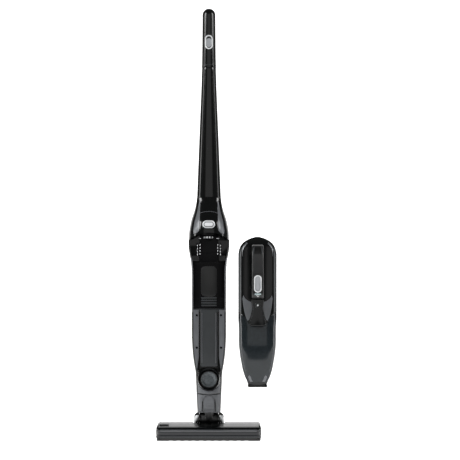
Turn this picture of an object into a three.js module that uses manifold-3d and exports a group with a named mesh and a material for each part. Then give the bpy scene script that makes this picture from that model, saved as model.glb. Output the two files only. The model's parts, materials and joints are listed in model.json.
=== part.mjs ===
// Two-in-one cordless stick vacuum: a powered floor head, a stick with a dock, and a lift-out hand unit.
// Millimetres, +Z up. The origin is on the floor under the stick's axis, and the front faces -Y.

import * as THREE from 'three';
import { mergeVertices } from 'three/addons/utils/BufferGeometryUtils.js';
import Module from 'manifold-3d';

const wasm = await Module();
wasm.setup();

// ---------------------------------------------------------------- driving dimensions

const fit = {
  seat: 0.3, // between pieces that meet and stay put
  slide: 0.5, // around a button or switch that slides
  turn: 0.8, // around a shaft or roll that turns
};

const head = {
  width: 266, // over the end caps
  front: -95,
  rear: 30,
  capThick: 5.5, // end caps and bumper returns
  bumperDepth: 5.5,
  bumperReturn: 25, // how far the bumper wraps round each end
  bumperLow: 7.6,
  bumperHigh: 27.6,
  bumperCorner: 12,
  soleThick: 3,
  soleLip: 7.2, // height of the sole's front lip
  split: 23, // where the cover meets the base
  crownFront: 34.5, // cover height above the brush
  crownRear: 38,
  wall: 2.5,
  bayWidth: 82, // open bay that clears the knuckle and the neck
  bayFront: -16,
  bayDeep: 18, // behind this line the bay is open down to the sole
  floorNotch: 10, // width of one air notch in the sole's front lip
  notchPitch: 19,
  notchCount: 11,
};

const brush = {
  y: -62,
  z: 15.6,
  bristleRadius: 14.6,
  coreRadius: 8,
  journalRadius: 3,
  length: 212,
  centre: -8,
  stripThick: 3,
  strips: 2,
  turns: 0.75,
};

const drive = {
  pulleyWidth: 9,
  brushPulleyRadius: 8.5,
  motorPulleyRadius: 4.5,
  beltThick: 1.6,
  motorY: -29,
  motorZ: 18.4,
  motorRadius: 10.5,
  motorLength: 46,
  shaftRadius: 1.6,
};

const duct = { half: 15, high: 29, wall: 1.8 };

const wheel = { x: 84, y: 10, radius: 9, width: 9, axleRadius: 2, axleOverhang: 3.2, bracket: 2.6 };

const pivot = {
  y: 8,
  z: 46,
  barrelRadius: 18,
  barrelHalf: 24.5,
  wall: 3.2,
  armInner: 25.3,
  armOuter: 28.4,
  armRadius: 11,
  capOuter: 38.4,
  capRadius: 11,
  pinRadius: 4,
  pinReach: 4, // how far the pin reaches into the barrel's end wall
};

const swivel = { radius: 13.5, bore: 10.5, top: 88 };

const stick = {
  top: 1100,
  gripBase: 948,
  handleBase: 614.3,
  bottom: pivot.z + pivot.barrelRadius, // rests just over the knuckle's barrel
  bottomFront: -20,
  bottomBack: 20,
  wall: 3,
  splitY: 2, // where the handle's front and back shells meet
  crown: 17, // radius of the rounded top
};

const neck = { low: 112, high: 166, tabHalf: 14.5, tabLow: 74, tabHigh: 109, tabThick: 2.6, tabTravel: 2 };

const port = {
  z: 149.5,
  y: -20,
  tilt: 20, // degrees that the port looks upwards
  bore: 12,
  collarRadius: 21,
  ringRadius: 29.3,
  ringWall: 2.2,
  ringProud: 6.5,
  ringDeep: 5,
};

const dock = {
  front: -18,
  back: 22,
  floor: -6, // the recess floor
  rail: 4, // width of each side rail
  recessLow: 168,
  recessHigh: 503,
  linerThick: 2.2,
  linerLow: 331,
  linerHigh: 446,
  louvres: 4,
  louvrePitch: 6.4,
  louvreHigh: 2.6,
  louvreHalf: 20,
  louvreLow: 334,
  coverHalf: 22,
  coverLow: 182,
  coverHigh: 329,
  coverProud: 9.5,
  panelInner: 26,
  panelLow: 168,
  panelHigh: 327,
  panelProud: 7,
  screwX: 31,
  screwZ: [230, 313],
  screwRadius: 2.9,
  screwThick: 1.8,
};

const hood = {
  low: 500,
  lipCentre: 525, // the lip's height on the centre line
  lipRadius: 79,
  wall: 3,
  seam: -6, // where the hood shell meets the spine
  buttonHalf: 16,
  buttonHigh: 20,
  buttonZ: 546,
  buttonThick: 9,
  buttonTravel: 3,
  hookHalf: 7,
};

const contact = {
  half: 24,
  low: 473,
  high: 520,
  proud: 9,
  pinRadius: 2.4,
  pinX: 8,
  pinZ: 512,
  pinProud: 2.2,
};

const powerSwitch = { z: 1012.5, half: 10, high: 36, proud: 2.2, ring: 3, travel: 5, slotHigh: 22 };

const unit = {
  width: 96.6,
  bottom: 130,
  top: 506.6,
  back: -19,
  depth: 50,
  wall: 2.4,
  split: -42, // where the front and rear housings meet
  awayX: 122.8, // where the unit stands at rest, measured from its docked place
  awayY: -75,
  awayZ: 8,
  tipTop: 143,
  mouthRadius: 12.5,
  mouthBore: 8.5,
  mouthLong: 8,
  seamSide: 314,
  seamCentre: 283,
  recessRim: 11.3, // from the recess to the unit's side
  recessFlat: 7, // half of the straight part of the recess's ends
  recessLow: 352,
  recessHigh: 486,
  recessDeep: 13,
};

const bar = {
  half: 14.6,
  front: -115,
  thick: 20,
  low: 353,
  high: 488,
  padLow: 418,
  padHigh: 464,
  padThick: 1.6,
  padHalf: 12.4,
  switchLow: 369,
  switchHigh: 412,
  switchHalf: 9.4,
  switchThick: 1.8,
  sliderHalf: 4.4,
  sliderHigh: 18,
  lightZ: 356,
  lightHalf: 8,
  lightHigh: 3.6,
};

const trunk = { half: 20.4, low: 286, high: 352, front: -100, frontLow: -82, buttonHalf: 7.4, buttonZ: 337 };
const trunkButton = { high: 15, thick: 5, travel: 2.5, proud: 1 };

const inside = {
  motorRadius: 20,
  motorLow: 313,
  motorHigh: 346,
  fanRadius: 18,
  fanHigh: 7,
  fanBlades: 8,
  filterRadius: 18,
  filterTip: 11,
  filterLow: 236,
  filterFlange: 3,
  filterRise: 14, // how far the filter's flange stands above the seam
  filterY: -44,
  batteryRim: 10.3, // from the cells to the unit's side
  batteryLow: 392,
  batteryHigh: 462,
  batteryThick: 19,
  batteryY: -34,
  batteryCells: 4,
  flapRadius: 9.8,
  flapThick: 1.4,
  grilleSlots: 5,
  grillePitch: 9,
  grilleHalf: 20,
  grilleHigh: 3.6,
  grilleLow: 328,
};

// Cutting tools reach at least this far past the pieces that they cut.
const past = { side: 60, front: -140, back: 60, low: 250, high: 600 };

// ---------------------------------------------------------------- shapes

const X = new THREE.Vector3(1, 0, 0);
const Y = new THREE.Vector3(0, 1, 0);
const Z = new THREE.Vector3(0, 0, 1);
const minusY = new THREE.Vector3(0, -1, 0);

// The frame that each extrusion is drawn in: its outline's two axes, then its depth.
const extrusionFrame = {
  x: new THREE.Matrix4().makeBasis(Y, Z, X),
  y: new THREE.Matrix4().makeBasis(X, Z, minusY),
  z: new THREE.Matrix4(),
};

/** A closed three.js geometry as a solid that can be joined and cut. */
function solid(geometry) {
  const bare = geometry.clone();
  bare.deleteAttribute('normal');
  bare.deleteAttribute('uv');
  const welded = mergeVertices(bare, 1e-4);
  const corners = Array.from(welded.index.array);
  const triangles = [];
  for (let i = 0; i < corners.length; i += 3) {
    const [a, b, c] = corners.slice(i, i + 3);
    if (a !== b && b !== c && c !== a) triangles.push(a, b, c);
  }
  return new wasm.Manifold(new wasm.Mesh({
    numProp: 3,
    vertProperties: Float32Array.from(welded.attributes.position.array),
    triVerts: Uint32Array.from(triangles),
  }));
}

/** The solid's surface as a three.js geometry. */
function surface(body) {
  const mesh = body.getMesh();
  const geometry = new THREE.BufferGeometry();
  geometry.setAttribute('position', new THREE.BufferAttribute(Float32Array.from(mesh.vertProperties), 3));
  geometry.setIndex(new THREE.BufferAttribute(Uint32Array.from(mesh.triVerts), 1));
  return geometry;
}

/** A box between two corners. */
function box(x0, x1, y0, y1, z0, z1) {
  const geometry = new THREE.BoxGeometry(x1 - x0, y1 - y0, z1 - z0);
  return solid(geometry.translate((x0 + x1) / 2, (y0 + y1) / 2, (z0 + z1) / 2));
}

/** A closed outline through points, joined by straight lines. */
function outline(points) {
  return new THREE.Shape(points.map(([u, v]) => new THREE.Vector2(u, v)));
}

/** A rectangle with round corners. */
function roundRect(u0, u1, v0, v1, radius) {
  const shape = new THREE.Shape();
  shape.moveTo(u0 + radius, v0);
  shape.lineTo(u1 - radius, v0);
  shape.absarc(u1 - radius, v0 + radius, radius, -Math.PI / 2, 0);
  shape.lineTo(u1, v1 - radius);
  shape.absarc(u1 - radius, v1 - radius, radius, 0, Math.PI / 2);
  shape.lineTo(u0 + radius, v1);
  shape.absarc(u0 + radius, v1 - radius, radius, Math.PI / 2, Math.PI);
  shape.lineTo(u0, v0 + radius);
  shape.absarc(u0 + radius, v0 + radius, radius, Math.PI, 1.5 * Math.PI);
  return shape;
}

/** An outline extruded along an axis between two places, with its ends' edges rounded by bevel. */
function prism(shape, axis, from, to, bevel = 0, curveSegments = 3) {
  const low = Math.min(from, to);
  const high = Math.max(from, to);
  const geometry = new THREE.ExtrudeGeometry(shape, {
    depth: high - low - 2 * bevel,
    bevelEnabled: bevel > 0,
    bevelThickness: bevel,
    bevelSize: bevel,
    bevelOffset: -bevel,
    bevelSegments: 1,
    curveSegments,
  });
  geometry.translate(0, 0, bevel);
  geometry.applyMatrix4(extrusionFrame[axis]);
  const shift = { x: [low, 0, 0], y: [0, high, 0], z: [0, 0, low] }[axis];
  return solid(geometry.translate(...shift));
}

/** A round bar along an axis through a point, between two places on that axis. */
function rod(axis, radius, centre, from, to, segments = 16) {
  const geometry = new THREE.CylinderGeometry(radius, radius, to - from, segments);
  geometry.rotateY(Math.PI / segments);
  if (axis === 'x') geometry.rotateZ(-Math.PI / 2);
  if (axis === 'z') geometry.rotateX(Math.PI / 2);
  const middle = (from + to) / 2;
  const [u, v] = centre;
  const place = { x: [middle, u, v], y: [u, middle, v], z: [u, v, middle] }[axis];
  return solid(geometry.translate(...place));
}

/** A profile of [radius, distance along the axis] turned about an axis through a point. */
function turned(axis, profile, centre, segments = 20) {
  const points = profile.map(([radius, along]) => new THREE.Vector2(radius, along));
  const geometry = new THREE.LatheGeometry(points, segments);
  if (axis === 'x') geometry.rotateZ(-Math.PI / 2);
  if (axis === 'z') geometry.rotateX(Math.PI / 2);
  return solid(geometry.translate(...centre));
}

/** A function that runs straight from each [place, value] station to the next. */
function stations(list) {
  const places = list.map(([place]) => place);
  const values = list.map(([, value]) => value);
  const line = new THREE.LinearInterpolant(places, values, 1);
  const [first, last] = [places[0], places.at(-1)];
  return (place) => line.evaluate(THREE.MathUtils.clamp(place, first, last))[0];
}

/** A solid through level rings, each a rounded box of the half-width, front and back at its height. */
function loft(rings, halfAt, frontAt, backAt, squareness = 2.6, count = 18) {
  const corner = (angle) => {
    const reach = (value) => Math.sign(value) * Math.abs(value) ** (2 / squareness);
    return [reach(Math.cos(angle)), reach(Math.sin(angle))];
  };
  const section = Array.from({ length: count }, (_, i) => corner(((i + 0.5) / count) * 2 * Math.PI));
  const steps = rings.length - 1;
  const geometry = new THREE.ExtrudeGeometry(outline(section), { depth: steps, steps, bevelEnabled: false });
  const place = geometry.attributes.position;
  for (let i = 0; i < place.count; i += 1) {
    const z = rings[Math.round(place.getZ(i))];
    const middle = (frontAt(z) + backAt(z)) / 2;
    const deep = (backAt(z) - frontAt(z)) / 2;
    place.setXYZ(i, place.getX(i) * halfAt(z), middle + place.getY(i) * deep, z);
  }
  return solid(geometry);
}

/** Evenly spaced heights. */
function levels(from, to, steps) {
  return Array.from({ length: steps + 1 }, (_, i) => from + ((to - from) * i) / steps);
}

/** A copy mirrored across the middle plane. */
function mirrored(body) {
  return body.mirror([1, 0, 0]);
}

// ---------------------------------------------------------------- materials

/** A material of one colour and finish. */
function finish(color, roughness, metalness = 0) {
  return () => new THREE.MeshStandardMaterial({ color, roughness, metalness });
}

const glossBlack = finish(0x101112, 0.12);
const satinBlack = finish(0x1b1c1d, 0.38);
const darkGrey = finish(0x3b3e40, 0.45);
const midGrey = finish(0x6d6f71, 0.42);
const silver = finish(0xb9bcbf, 0.28, 0.9);
const steel = finish(0x9a9da0, 0.3, 1);
const brass = finish(0xc9a24a, 0.3, 1);
const rubber = finish(0x17181a, 0.8);
const smokeClear = finish(0x4a4f52, 0.1);
const paleFilter = finish(0xd8d6cc, 0.9);
const tealLight = finish(0x6f8d90, 0.3);
const bristle = finish(0x35383b, 0.85);

const vacuum = new THREE.Group();

/** Adds one named piece to the vacuum, or to the group given. */
function add(name, material, body, group = vacuum) {
  const mesh = new THREE.Mesh(surface(body), material());
  mesh.name = name;
  group.add(mesh);
}

// ---------------------------------------------------------------- floor head

const coreHalf = head.width / 2 - head.capThick - fit.seat; // half-width of the base and the cover
const bodyFront = head.front + head.bumperDepth + fit.seat;
const chamberRadius = brush.bristleRadius + fit.turn;
const chamberBack = brush.y + chamberRadius;
const brushLow = brush.centre - brush.length / 2;
const brushHigh = brush.centre + brush.length / 2;
const beltLow = brushHigh + fit.turn;
const beltHigh = beltLow + drive.pulleyWidth + fit.turn;
const baseLow = head.soleThick + fit.seat;
const ductLow = baseLow + head.wall + fit.seat;

/** The cover's outline from the side, moved inwards by inset. */
function coverProfile(inset) {
  return outline([
    [bodyFront + inset, head.split + fit.seat],
    [bodyFront + inset, head.bumperHigh - inset],
    [bodyFront + 5 + inset * 0.6, head.bumperHigh + 3.6 - inset],
    [brush.y, head.crownFront - inset],
    [-20, head.crownRear - inset],
    [head.rear - 8 - inset * 0.4, head.crownRear - 0.6 - inset],
    [head.rear - 2 - inset * 0.8, head.crownRear - 6 - inset],
    [head.rear - inset, head.split + fit.seat],
  ]);
}

/** The space that the brush turns in, open at the sole. */
function brushChamber(low, high) {
  const tunnel = rod('x', chamberRadius, [brush.y, brush.z], low, high, 24);
  const slot = box(low, high, brush.y - chamberRadius, brush.y + chamberRadius, -1, brush.z);
  return tunnel.add(slot);
}

function headBase() {
  const half = coreHalf;
  const side = outline([
    [bodyFront, baseLow],
    [bodyFront, head.split],
    [head.rear, head.split],
    [head.rear, baseLow + 4],
    [head.rear - 4, baseLow],
  ]);
  let body = prism(side, 'x', -half, half);
  body = body.subtract(brushChamber(brushLow - fit.turn, beltHigh));
  const journal = brush.journalRadius + fit.seat;
  const journalEnd = brush.journalRadius * 2;
  const bearing = [brush.y, brush.z];
  body = body.subtract(rod('x', journal, bearing, brushLow - journalEnd - fit.turn, beltHigh + journalEnd));
  const roomLow = baseLow + head.wall;
  const roomFront = chamberBack + head.wall;
  const bayHalf = head.bayWidth / 2;
  for (const sign of [-1, 1]) {
    const inner = sign * (bayHalf + head.wall);
    const outer = sign * (half - head.wall);
    const span = [Math.min(inner, outer), Math.max(inner, outer)];
    body = body.subtract(box(...span, roomFront, head.rear - head.wall, roomLow, head.split + 1));
    const wellHalf = wheel.width / 2 + fit.turn;
    const wellReach = wheel.radius + fit.turn + 1;
    const wellX = sign * wheel.x;
    const well = [wellX - wellHalf, wellX + wellHalf, wheel.y - wellReach, wheel.y + wellReach];
    for (const cheek of [-1, 1]) {
      const near = wellX + cheek * wellHalf;
      const far = near + cheek * wheel.bracket;
      const reach = wheel.axleRadius * 2.5;
      const top = wheel.radius + wheel.axleRadius * 2.5;
      const cheekX = [Math.min(near, far), Math.max(near, far)];
      body = body.add(box(...cheekX, wheel.y - reach, wheel.y + reach, roomLow - 0.5, top));
    }
    body = body.subtract(box(...well, baseLow - 1, head.split + 1));
    const axleEnd = wellHalf + wheel.bracket + 1;
    const axleBore = wheel.axleRadius + fit.seat;
    body = body.subtract(rod('x', axleBore, [wheel.y, wheel.radius], wellX - axleEnd, wellX + axleEnd));
  }
  const overSplit = head.split + 1;
  body = body.subtract(box(-bayHalf, bayHalf, roomFront, head.bayFront - head.wall, roomLow, overSplit));
  const throat = [-duct.half + 1, duct.half - 1, chamberBack - 3, roomFront + 1];
  body = body.subtract(box(...throat, ductLow, overSplit));
  const ductRoom = [-duct.half - 1, duct.half + 1, roomFront, head.bayFront + 2];
  body = body.subtract(box(...ductRoom, ductLow - fit.seat, duct.high));
  body = body.subtract(box(-bayHalf, bayHalf, head.bayDeep, head.rear + 1, baseLow - 1, overSplit));
  const beltBand = [beltLow - fit.seat, beltHigh];
  body = body.subtract(box(...beltBand, brush.y, roomFront + 1, roomLow, head.split + 1));
  for (const sign of [-1, 1]) {
    body = body.add(pivotArm(sign));
  }
  const motorBed = drive.motorRadius + fit.seat;
  const motorX = motorSpan();
  return body.subtract(rod('x', motorBed, [drive.motorY, drive.motorZ], motorX[0] - 1, beltHigh + 1));
}

/** One of the two ears that hold the knuckle, rising from the bay's floor. */
function pivotArm(sign) {
  const [inner, outer] = [sign * pivot.armInner, sign * pivot.armOuter];
  const span = [Math.min(inner, outer), Math.max(inner, outer)];
  const ear = rod('x', pivot.armRadius, [pivot.y, pivot.z], ...span);
  const postHalf = pivot.armRadius * 0.9;
  const post = box(...span, pivot.y - postHalf, pivot.y + postHalf, head.split - 2, pivot.z);
  const hole = rod('x', pivot.pinRadius + fit.seat, [pivot.y, pivot.z], span[0] - 1, span[1] + 1);
  return ear.add(post).subtract(hole);
}

/** The brush motor's two ends along X. */
function motorSpan() {
  const high = beltLow - fit.turn - 4;
  return [high - drive.motorLength, high];
}

function headCover() {
  const half = coreHalf;
  let body = prism(coverProfile(0), 'x', -half, half);
  body = body.subtract(prism(coverInside(), 'x', -half + head.wall, half - head.wall));
  const bayHalf = head.bayWidth / 2;
  const overCrown = head.crownRear + 5;
  body = body.subtract(box(-bayHalf, bayHalf, head.bayFront, head.rear + 1, head.split - 1, overCrown));
  return body.subtract(inlayStrip(fit.seat, 1.2));
}

/** The space under the cover, cut through its open underside. */
function coverInside() {
  const shape = coverProfile(head.wall);
  const points = shape.getPoints().map((point) => [point.x, point.y]);
  points[0][1] -= 2;
  points[points.length - 1][1] -= 2;
  return outline(points);
}

/** The textured strip let into the cover's left end. Grow widens it, and depth is how far it reaches down. */
function inlayStrip(grow, depth) {
  const front = brush.y + 3;
  const back = -24;
  const slope = (head.crownRear - head.crownFront) / (-20 - brush.y);
  const top = (y) => head.crownFront + slope * (y - brush.y) + 0.4;
  const low = front - grow;
  const high = back + grow;
  const side = outline([
    [low, top(low) - depth - 0.4],
    [high, top(high) - depth - 0.4],
    [high, top(high)],
    [low, top(low)],
  ]);
  const left = -coreHalf + 1.5;
  return prism(side, 'x', left - grow, left + 24 + grow);
}

function frontBumper() {
  const half = head.width / 2;
  const back = head.front + head.bumperReturn;
  const outer = new THREE.Shape();
  const corner = head.bumperCorner;
  outer.moveTo(-half, back);
  outer.lineTo(-half, head.front + corner);
  outer.absarc(-half + corner, head.front + corner, corner, Math.PI, 1.5 * Math.PI);
  outer.lineTo(half - corner, head.front);
  outer.absarc(half - corner, head.front + corner, corner, 1.5 * Math.PI, 2 * Math.PI);
  outer.lineTo(half, back);
  const inner = half - head.capThick;
  outer.lineTo(inner, back);
  outer.lineTo(inner, head.front + head.bumperDepth);
  outer.lineTo(-inner, head.front + head.bumperDepth);
  outer.lineTo(-inner, back);
  return prism(outer, 'z', head.bumperLow, head.bumperHigh);
}

function endCap() {
  const half = head.width / 2;
  const front = head.front + head.bumperReturn + fit.seat;
  const side = outline([
    [front, baseLow + fit.seat],
    [front, head.bumperHigh + 3.4],
    [brush.y, head.crownFront - 1],
    [-20, head.crownRear - 1],
    [head.rear - 8, head.crownRear - 1.6],
    [head.rear - 2, head.crownRear - 8],
    [head.rear, head.split],
    [head.rear, baseLow + 5],
    [head.rear - 4, baseLow + fit.seat],
  ]);
  return prism(side, 'x', half - head.capThick, half, 1);
}

function solePlate() {
  const half = head.width / 2 - 2;
  const lipBack = head.front + 2 + head.wall;
  let body = prism(roundRect(-half, half, head.front + 2, head.rear - 5, 8), 'z', 0, head.soleThick);
  const lip = box(-half + 8, half - 8, head.front + 2, lipBack, 0, head.soleLip);
  body = body.add(lip);
  const slotHalf = chamberRadius - 1.5;
  const slot = [brushLow, brushHigh, brush.y - slotHalf, brush.y + slotHalf];
  body = body.subtract(box(...slot, -1, head.soleThick + 1));
  const firstNotch = -((head.notchCount - 1) / 2) * head.notchPitch;
  for (let i = 0; i < head.notchCount; i += 1) {
    const x = firstNotch + i * head.notchPitch;
    const notchHalf = head.floorNotch / 2;
    body = body.subtract(box(x - notchHalf, x + notchHalf, head.front, lipBack + 4, -1, head.soleThick - 1));
  }
  for (const sign of [-1, 1]) {
    const wellHalf = wheel.width / 2 + fit.turn;
    const wellReach = wheel.radius + fit.turn;
    const x = sign * wheel.x;
    const well = [x - wellHalf, x + wellHalf, wheel.y - wellReach, wheel.y + wellReach];
    body = body.subtract(box(...well, -1, head.soleThick + 1));
  }
  return body;
}

function headDuct() {
  const wall = duct.wall;
  const span = [chamberBack + head.wall + fit.seat, head.bayFront - fit.seat];
  const outer = box(-duct.half, duct.half, ...span, ductLow, duct.high - fit.seat);
  const boreHalf = duct.half - wall;
  const bore = box(-boreHalf, boreHalf, span[0] - 1, span[1] + 1, ductLow + wall, duct.high - wall);
  return outer.subtract(bore);
}

/** The loop round the two pulleys, moved outwards by grow. */
function beltLoop(grow) {
  const big = drive.brushPulleyRadius + grow;
  const small = drive.motorPulleyRadius + grow;
  const dy = drive.motorY - brush.y;
  const dz = drive.motorZ - brush.z;
  const distance = Math.hypot(dy, dz);
  const heading = Math.atan2(dz, dy);
  const lean = Math.acos((big - small) / distance);
  const shape = new THREE.Shape();
  shape.absarc(brush.y, brush.z, big, heading + lean, heading - lean + 2 * Math.PI);
  shape.absarc(drive.motorY, drive.motorZ, small, heading - lean, heading + lean);
  return shape;
}

function driveBelt() {
  const span = [beltLow + 1.5, beltHigh - fit.turn - 1.5];
  const outer = prism(beltLoop(fit.seat + drive.beltThick), 'x', ...span, 0, 10);
  return outer.subtract(prism(beltLoop(fit.seat), 'x', span[0] - 1, span[1] + 1, 0, 10));
}

function motorPulley() {
  const centre = [drive.motorY, drive.motorZ];
  const span = [beltLow, beltHigh - fit.turn];
  const shaft = rod('x', drive.shaftRadius, centre, motorSpan()[1] + fit.seat, span[1], 12);
  return rod('x', drive.motorPulleyRadius, centre, ...span, 20).add(shaft);
}

function brushCore() {
  const centre = [brush.y, brush.z];
  const end = brush.journalRadius * 2;
  const core = rod('x', brush.coreRadius, centre, brushLow, brushHigh);
  const journals = rod('x', brush.journalRadius, centre, brushLow - end, beltHigh + end - fit.turn, 16);
  const pulley = rod('x', drive.brushPulleyRadius, centre, beltLow, beltHigh - fit.turn);
  return core.add(journals).add(pulley);
}

/** One bristle strip wound round the core, standing just off it. */
function bristleStrip(index) {
  const inner = brush.coreRadius + fit.seat;
  const steps = 26;
  const half = brush.stripThick / 2;
  const outer = brush.bristleRadius;
  const section = outline([[inner, -half], [outer, -half * 0.6], [outer, half * 0.6], [inner, half]]);
  const depth = brush.length - 4;
  const geometry = new THREE.ExtrudeGeometry(section, { depth, steps, bevelEnabled: false });
  const place = geometry.attributes.position;
  const start = (index / brush.strips) * 2 * Math.PI;
  for (let i = 0; i < place.count; i += 1) {
    const along = place.getZ(i) / depth;
    const angle = start + along * brush.turns * 2 * Math.PI;
    const [u, v] = [place.getX(i), place.getY(i)];
    const y = u * Math.cos(angle) - v * Math.sin(angle);
    const z = u * Math.sin(angle) + v * Math.cos(angle);
    place.setXYZ(i, brushLow + 2 + place.getZ(i), brush.y + y, brush.z + z);
  }
  return solid(geometry);
}

function rearWheel(sign) {
  const x = sign * wheel.x;
  const half = wheel.width / 2;
  const reach = half + wheel.axleOverhang;
  const tyre = turned('x', [
    [0, -half], [wheel.radius - 1, -half], [wheel.radius, -half + 1],
    [wheel.radius, half - 1], [wheel.radius - 1, half], [0, half],
  ], [x, wheel.y, wheel.radius]);
  return tyre.add(rod('x', wheel.axleRadius, [wheel.y, wheel.radius], x - reach, x + reach, 16));
}

/** The silver cap outside one ear, with the pin that the knuckle turns on. */
function pivotCap(sign) {
  const from = pivot.armOuter + fit.seat;
  const long = pivot.capOuter - from;
  const dome = turned('x', [
    [0, from],
    [pivot.capRadius, from],
    [pivot.capRadius, from + long * 0.35],
    [pivot.capRadius * 0.86, from + long * 0.72],
    [pivot.capRadius * 0.55, from + long],
    [0, from + long],
  ], [0, pivot.y, pivot.z]);
  const pin = rod('x', pivot.pinRadius, [pivot.y, pivot.z], pivot.barrelHalf - pivot.pinReach, from + 1, 20);
  const cap = dome.add(pin);
  return sign > 0 ? cap : mirrored(cap);
}

// ---------------------------------------------------------------- knuckle

function knuckleShell() {
  const centre = [pivot.y, pivot.z];
  const half = pivot.barrelHalf;
  const endWall = pivot.pinReach + 1;
  const spigotTop = swivel.top;
  let body = rod('x', pivot.barrelRadius, centre, -half, half, 24);
  body = body.add(rod('z', swivel.radius, [0, 0], pivot.z, spigotTop, 32));
  const hollow = rod('x', pivot.barrelRadius - pivot.wall, centre, -half + endWall, half - endWall, 24);
  body = body.subtract(hollow);
  body = body.subtract(rod('z', swivel.bore, [0, 0], pivot.z, spigotTop + 1, 32));
  const window = box(-11, 11, pivot.y - pivot.barrelRadius - 1, pivot.y - 8, pivot.z - 16, pivot.z - 2);
  body = body.subtract(window);
  const pinBore = rod('x', pivot.pinRadius + fit.seat, centre, -half - 1, half + 1);
  return body.subtract(pinBore);
}

// ---------------------------------------------------------------- stick

const stickHalf = stations([
  [64, 30], [87, 30.9], [128, 32.9], [166, 34.6], [190, 38.6], [221, 42.4], [265, 44.5], [340, 44.6],
  [419, 44.6], [449, 46.4], [470, 50], [490, 52.7], [521, 51.8], [552, 46.9], [583, 37], [600, 33],
  [614, 31.2],
  [660, 29.3], [722, 26.8], [783, 24.4], [845, 21.9], [906, 19.6], [968, 17.9], [1030, 17.1], [1100, 16.5],
]);
const stickFront = stations([
  [64, stick.bottomFront], [neck.high, stick.bottomFront], [185, dock.front], [600, dock.front],
  [614, -19], [700, -18], [800, -17], [1100, -16.5],
]);
const stickBack = stations([
  [64, stick.bottomBack], [140, stick.bottomBack], [190, dock.back], [600, dock.back],
  [700, 19.5], [800, 18], [950, 17], [1100, 16.5],
]);
const hoodFront = stations([
  [hood.low, -55], [531, -57], [550, -52], [570, -42], [590, -31], [605, -23], [stick.handleBase, -19.5],
]);

/** A point of the port's own frame, which looks up a little from the stick's front. */
function atPort(body) {
  return body.rotate([-port.tilt, 0, 0]).translate([0, port.y, port.z]);
}

function neckLower() {
  const rings = levels(stick.bottom, neck.low - fit.seat, 4);
  const flare = (z) => stickHalf(z) + 3.6 * Math.max(0, 1 - (z - stick.bottom) / 8);
  let body = loft(rings, flare, stickFront, stickBack);
  body = body.subtract(rod('z', swivel.radius + fit.slide, [0, 0], stick.bottom - 1, swivel.top + 1, 32));
  body = body.subtract(rod('z', swivel.bore, [0, 0], stick.bottom - 1, neck.low + 1, 32));
  const pocket = neck.tabHalf + fit.slide;
  const depth = stickFront(neck.low) + neck.tabThick + neck.tabTravel + fit.slide;
  const low = neck.tabLow - fit.slide;
  const high = neck.tabHigh + fit.slide;
  return body.subtract(prism(archedTab(pocket, low, high), 'y', stickFront(neck.low) - 3, depth));
}

/** The release tab's outline: square at its foot and arched at its top. */
function archedTab(half, low, high) {
  const shape = new THREE.Shape();
  const radius = half * 1.6;
  const sweep = Math.asin(half / radius);
  const centre = high - radius;
  shape.moveTo(-half, low);
  shape.lineTo(half, low);
  shape.absarc(0, centre, radius, Math.PI / 2 - sweep, Math.PI / 2 + sweep);
  return shape;
}

function releaseTab() {
  const front = stickFront(neck.low);
  const shape = archedTab(neck.tabHalf, neck.tabLow, neck.tabHigh);
  return prism(shape, 'y', front - 1, front + neck.tabThick, 0.8);
}

function neckUpper() {
  const rings = levels(neck.low, neck.high, 5);
  let body = loft(rings, stickHalf, stickFront, stickBack);
  body = body.subtract(rod('z', swivel.bore, [0, 0], neck.low - 1, port.z, 32));
  const passage = rod('y', port.bore, [0, 0], 0, 24, 24);
  return body.subtract(atPort(portPocket())).subtract(atPort(passage));
}

/** The round pocket that the bowl ring and the collar seat in, in the port's own frame. */
function portPocket() {
  return rod('y', port.ringRadius + fit.seat, [0, 0], -40, port.ringDeep + fit.seat, 24);
}

function bowlRing() {
  const inner = port.collarRadius + fit.seat;
  const profile = [
    [inner, port.ringDeep],
    [inner, 0],
    [port.ringRadius - port.ringWall, -port.ringProud],
    [port.ringRadius - 0.5, -port.ringProud],
    [port.ringRadius, -port.ringProud + 1.5],
    [port.ringRadius, port.ringDeep],
    [inner, port.ringDeep],
  ];
  return atPort(turned('y', profile, [0, 0, 0], 28));
}

function portCollar() {
  const profile = [
    [port.bore, port.ringDeep],
    [port.bore, 0.8],
    [port.bore + 1.5, 0],
    [port.bore + 3, 0],
    [port.bore + 4, 1.4],
    [port.collarRadius, 0.6],
    [port.collarRadius, port.ringDeep],
    [port.bore, port.ringDeep],
  ];
  return atPort(turned('y', profile, [0, 0, 0], 28));
}

/** The dock recess's outline in front view, grown outwards by grow. */
function recessOutline(grow) {
  const heights = [dock.recessLow - grow, 200, 240, 280, 419, 449, 470, dock.recessHigh];
  const right = heights.map((z) => [stickHalf(z) - dock.rail + grow, z]);
  const left = right.map(([x, z]) => [-x, z]).reverse();
  return outline([...right, ...left]);
}

function frameSpine() {
  const [foot, head] = [neck.high + fit.seat, stick.handleBase - fit.seat];
  const rings = [foot, 190, 221, 255, 415, 440, 460, 480, 495, 510, 530, 548, 566, 583, 598, head];
  const shell = loft(rings, stickHalf, stickFront, stickBack, 4, 20);
  const lining = dock.floor + stick.wall;
  const inset = (z) => stickHalf(z) - stick.wall;
  const hollowRings = [182, 221, 255, 430, 465, 490, 521, 552, 583, stick.handleBase + 1];
  const hollow = loft(hollowRings, inset, () => lining, (z) => stickBack(z) - stick.wall, 4, 16);
  let body = shell.subtract(hollow);
  body = body.subtract(prism(recessOutline(0), 'y', dock.front - 3, dock.floor));
  const aboveLip = dock.recessHigh - 1;
  const seam = hood.seam + fit.seat;
  body = body.subtract(box(-past.side, past.side, past.front, seam, aboveLip, stick.handleBase + 1));
  return body.subtract(atPort(portPocket()));
}

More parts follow.
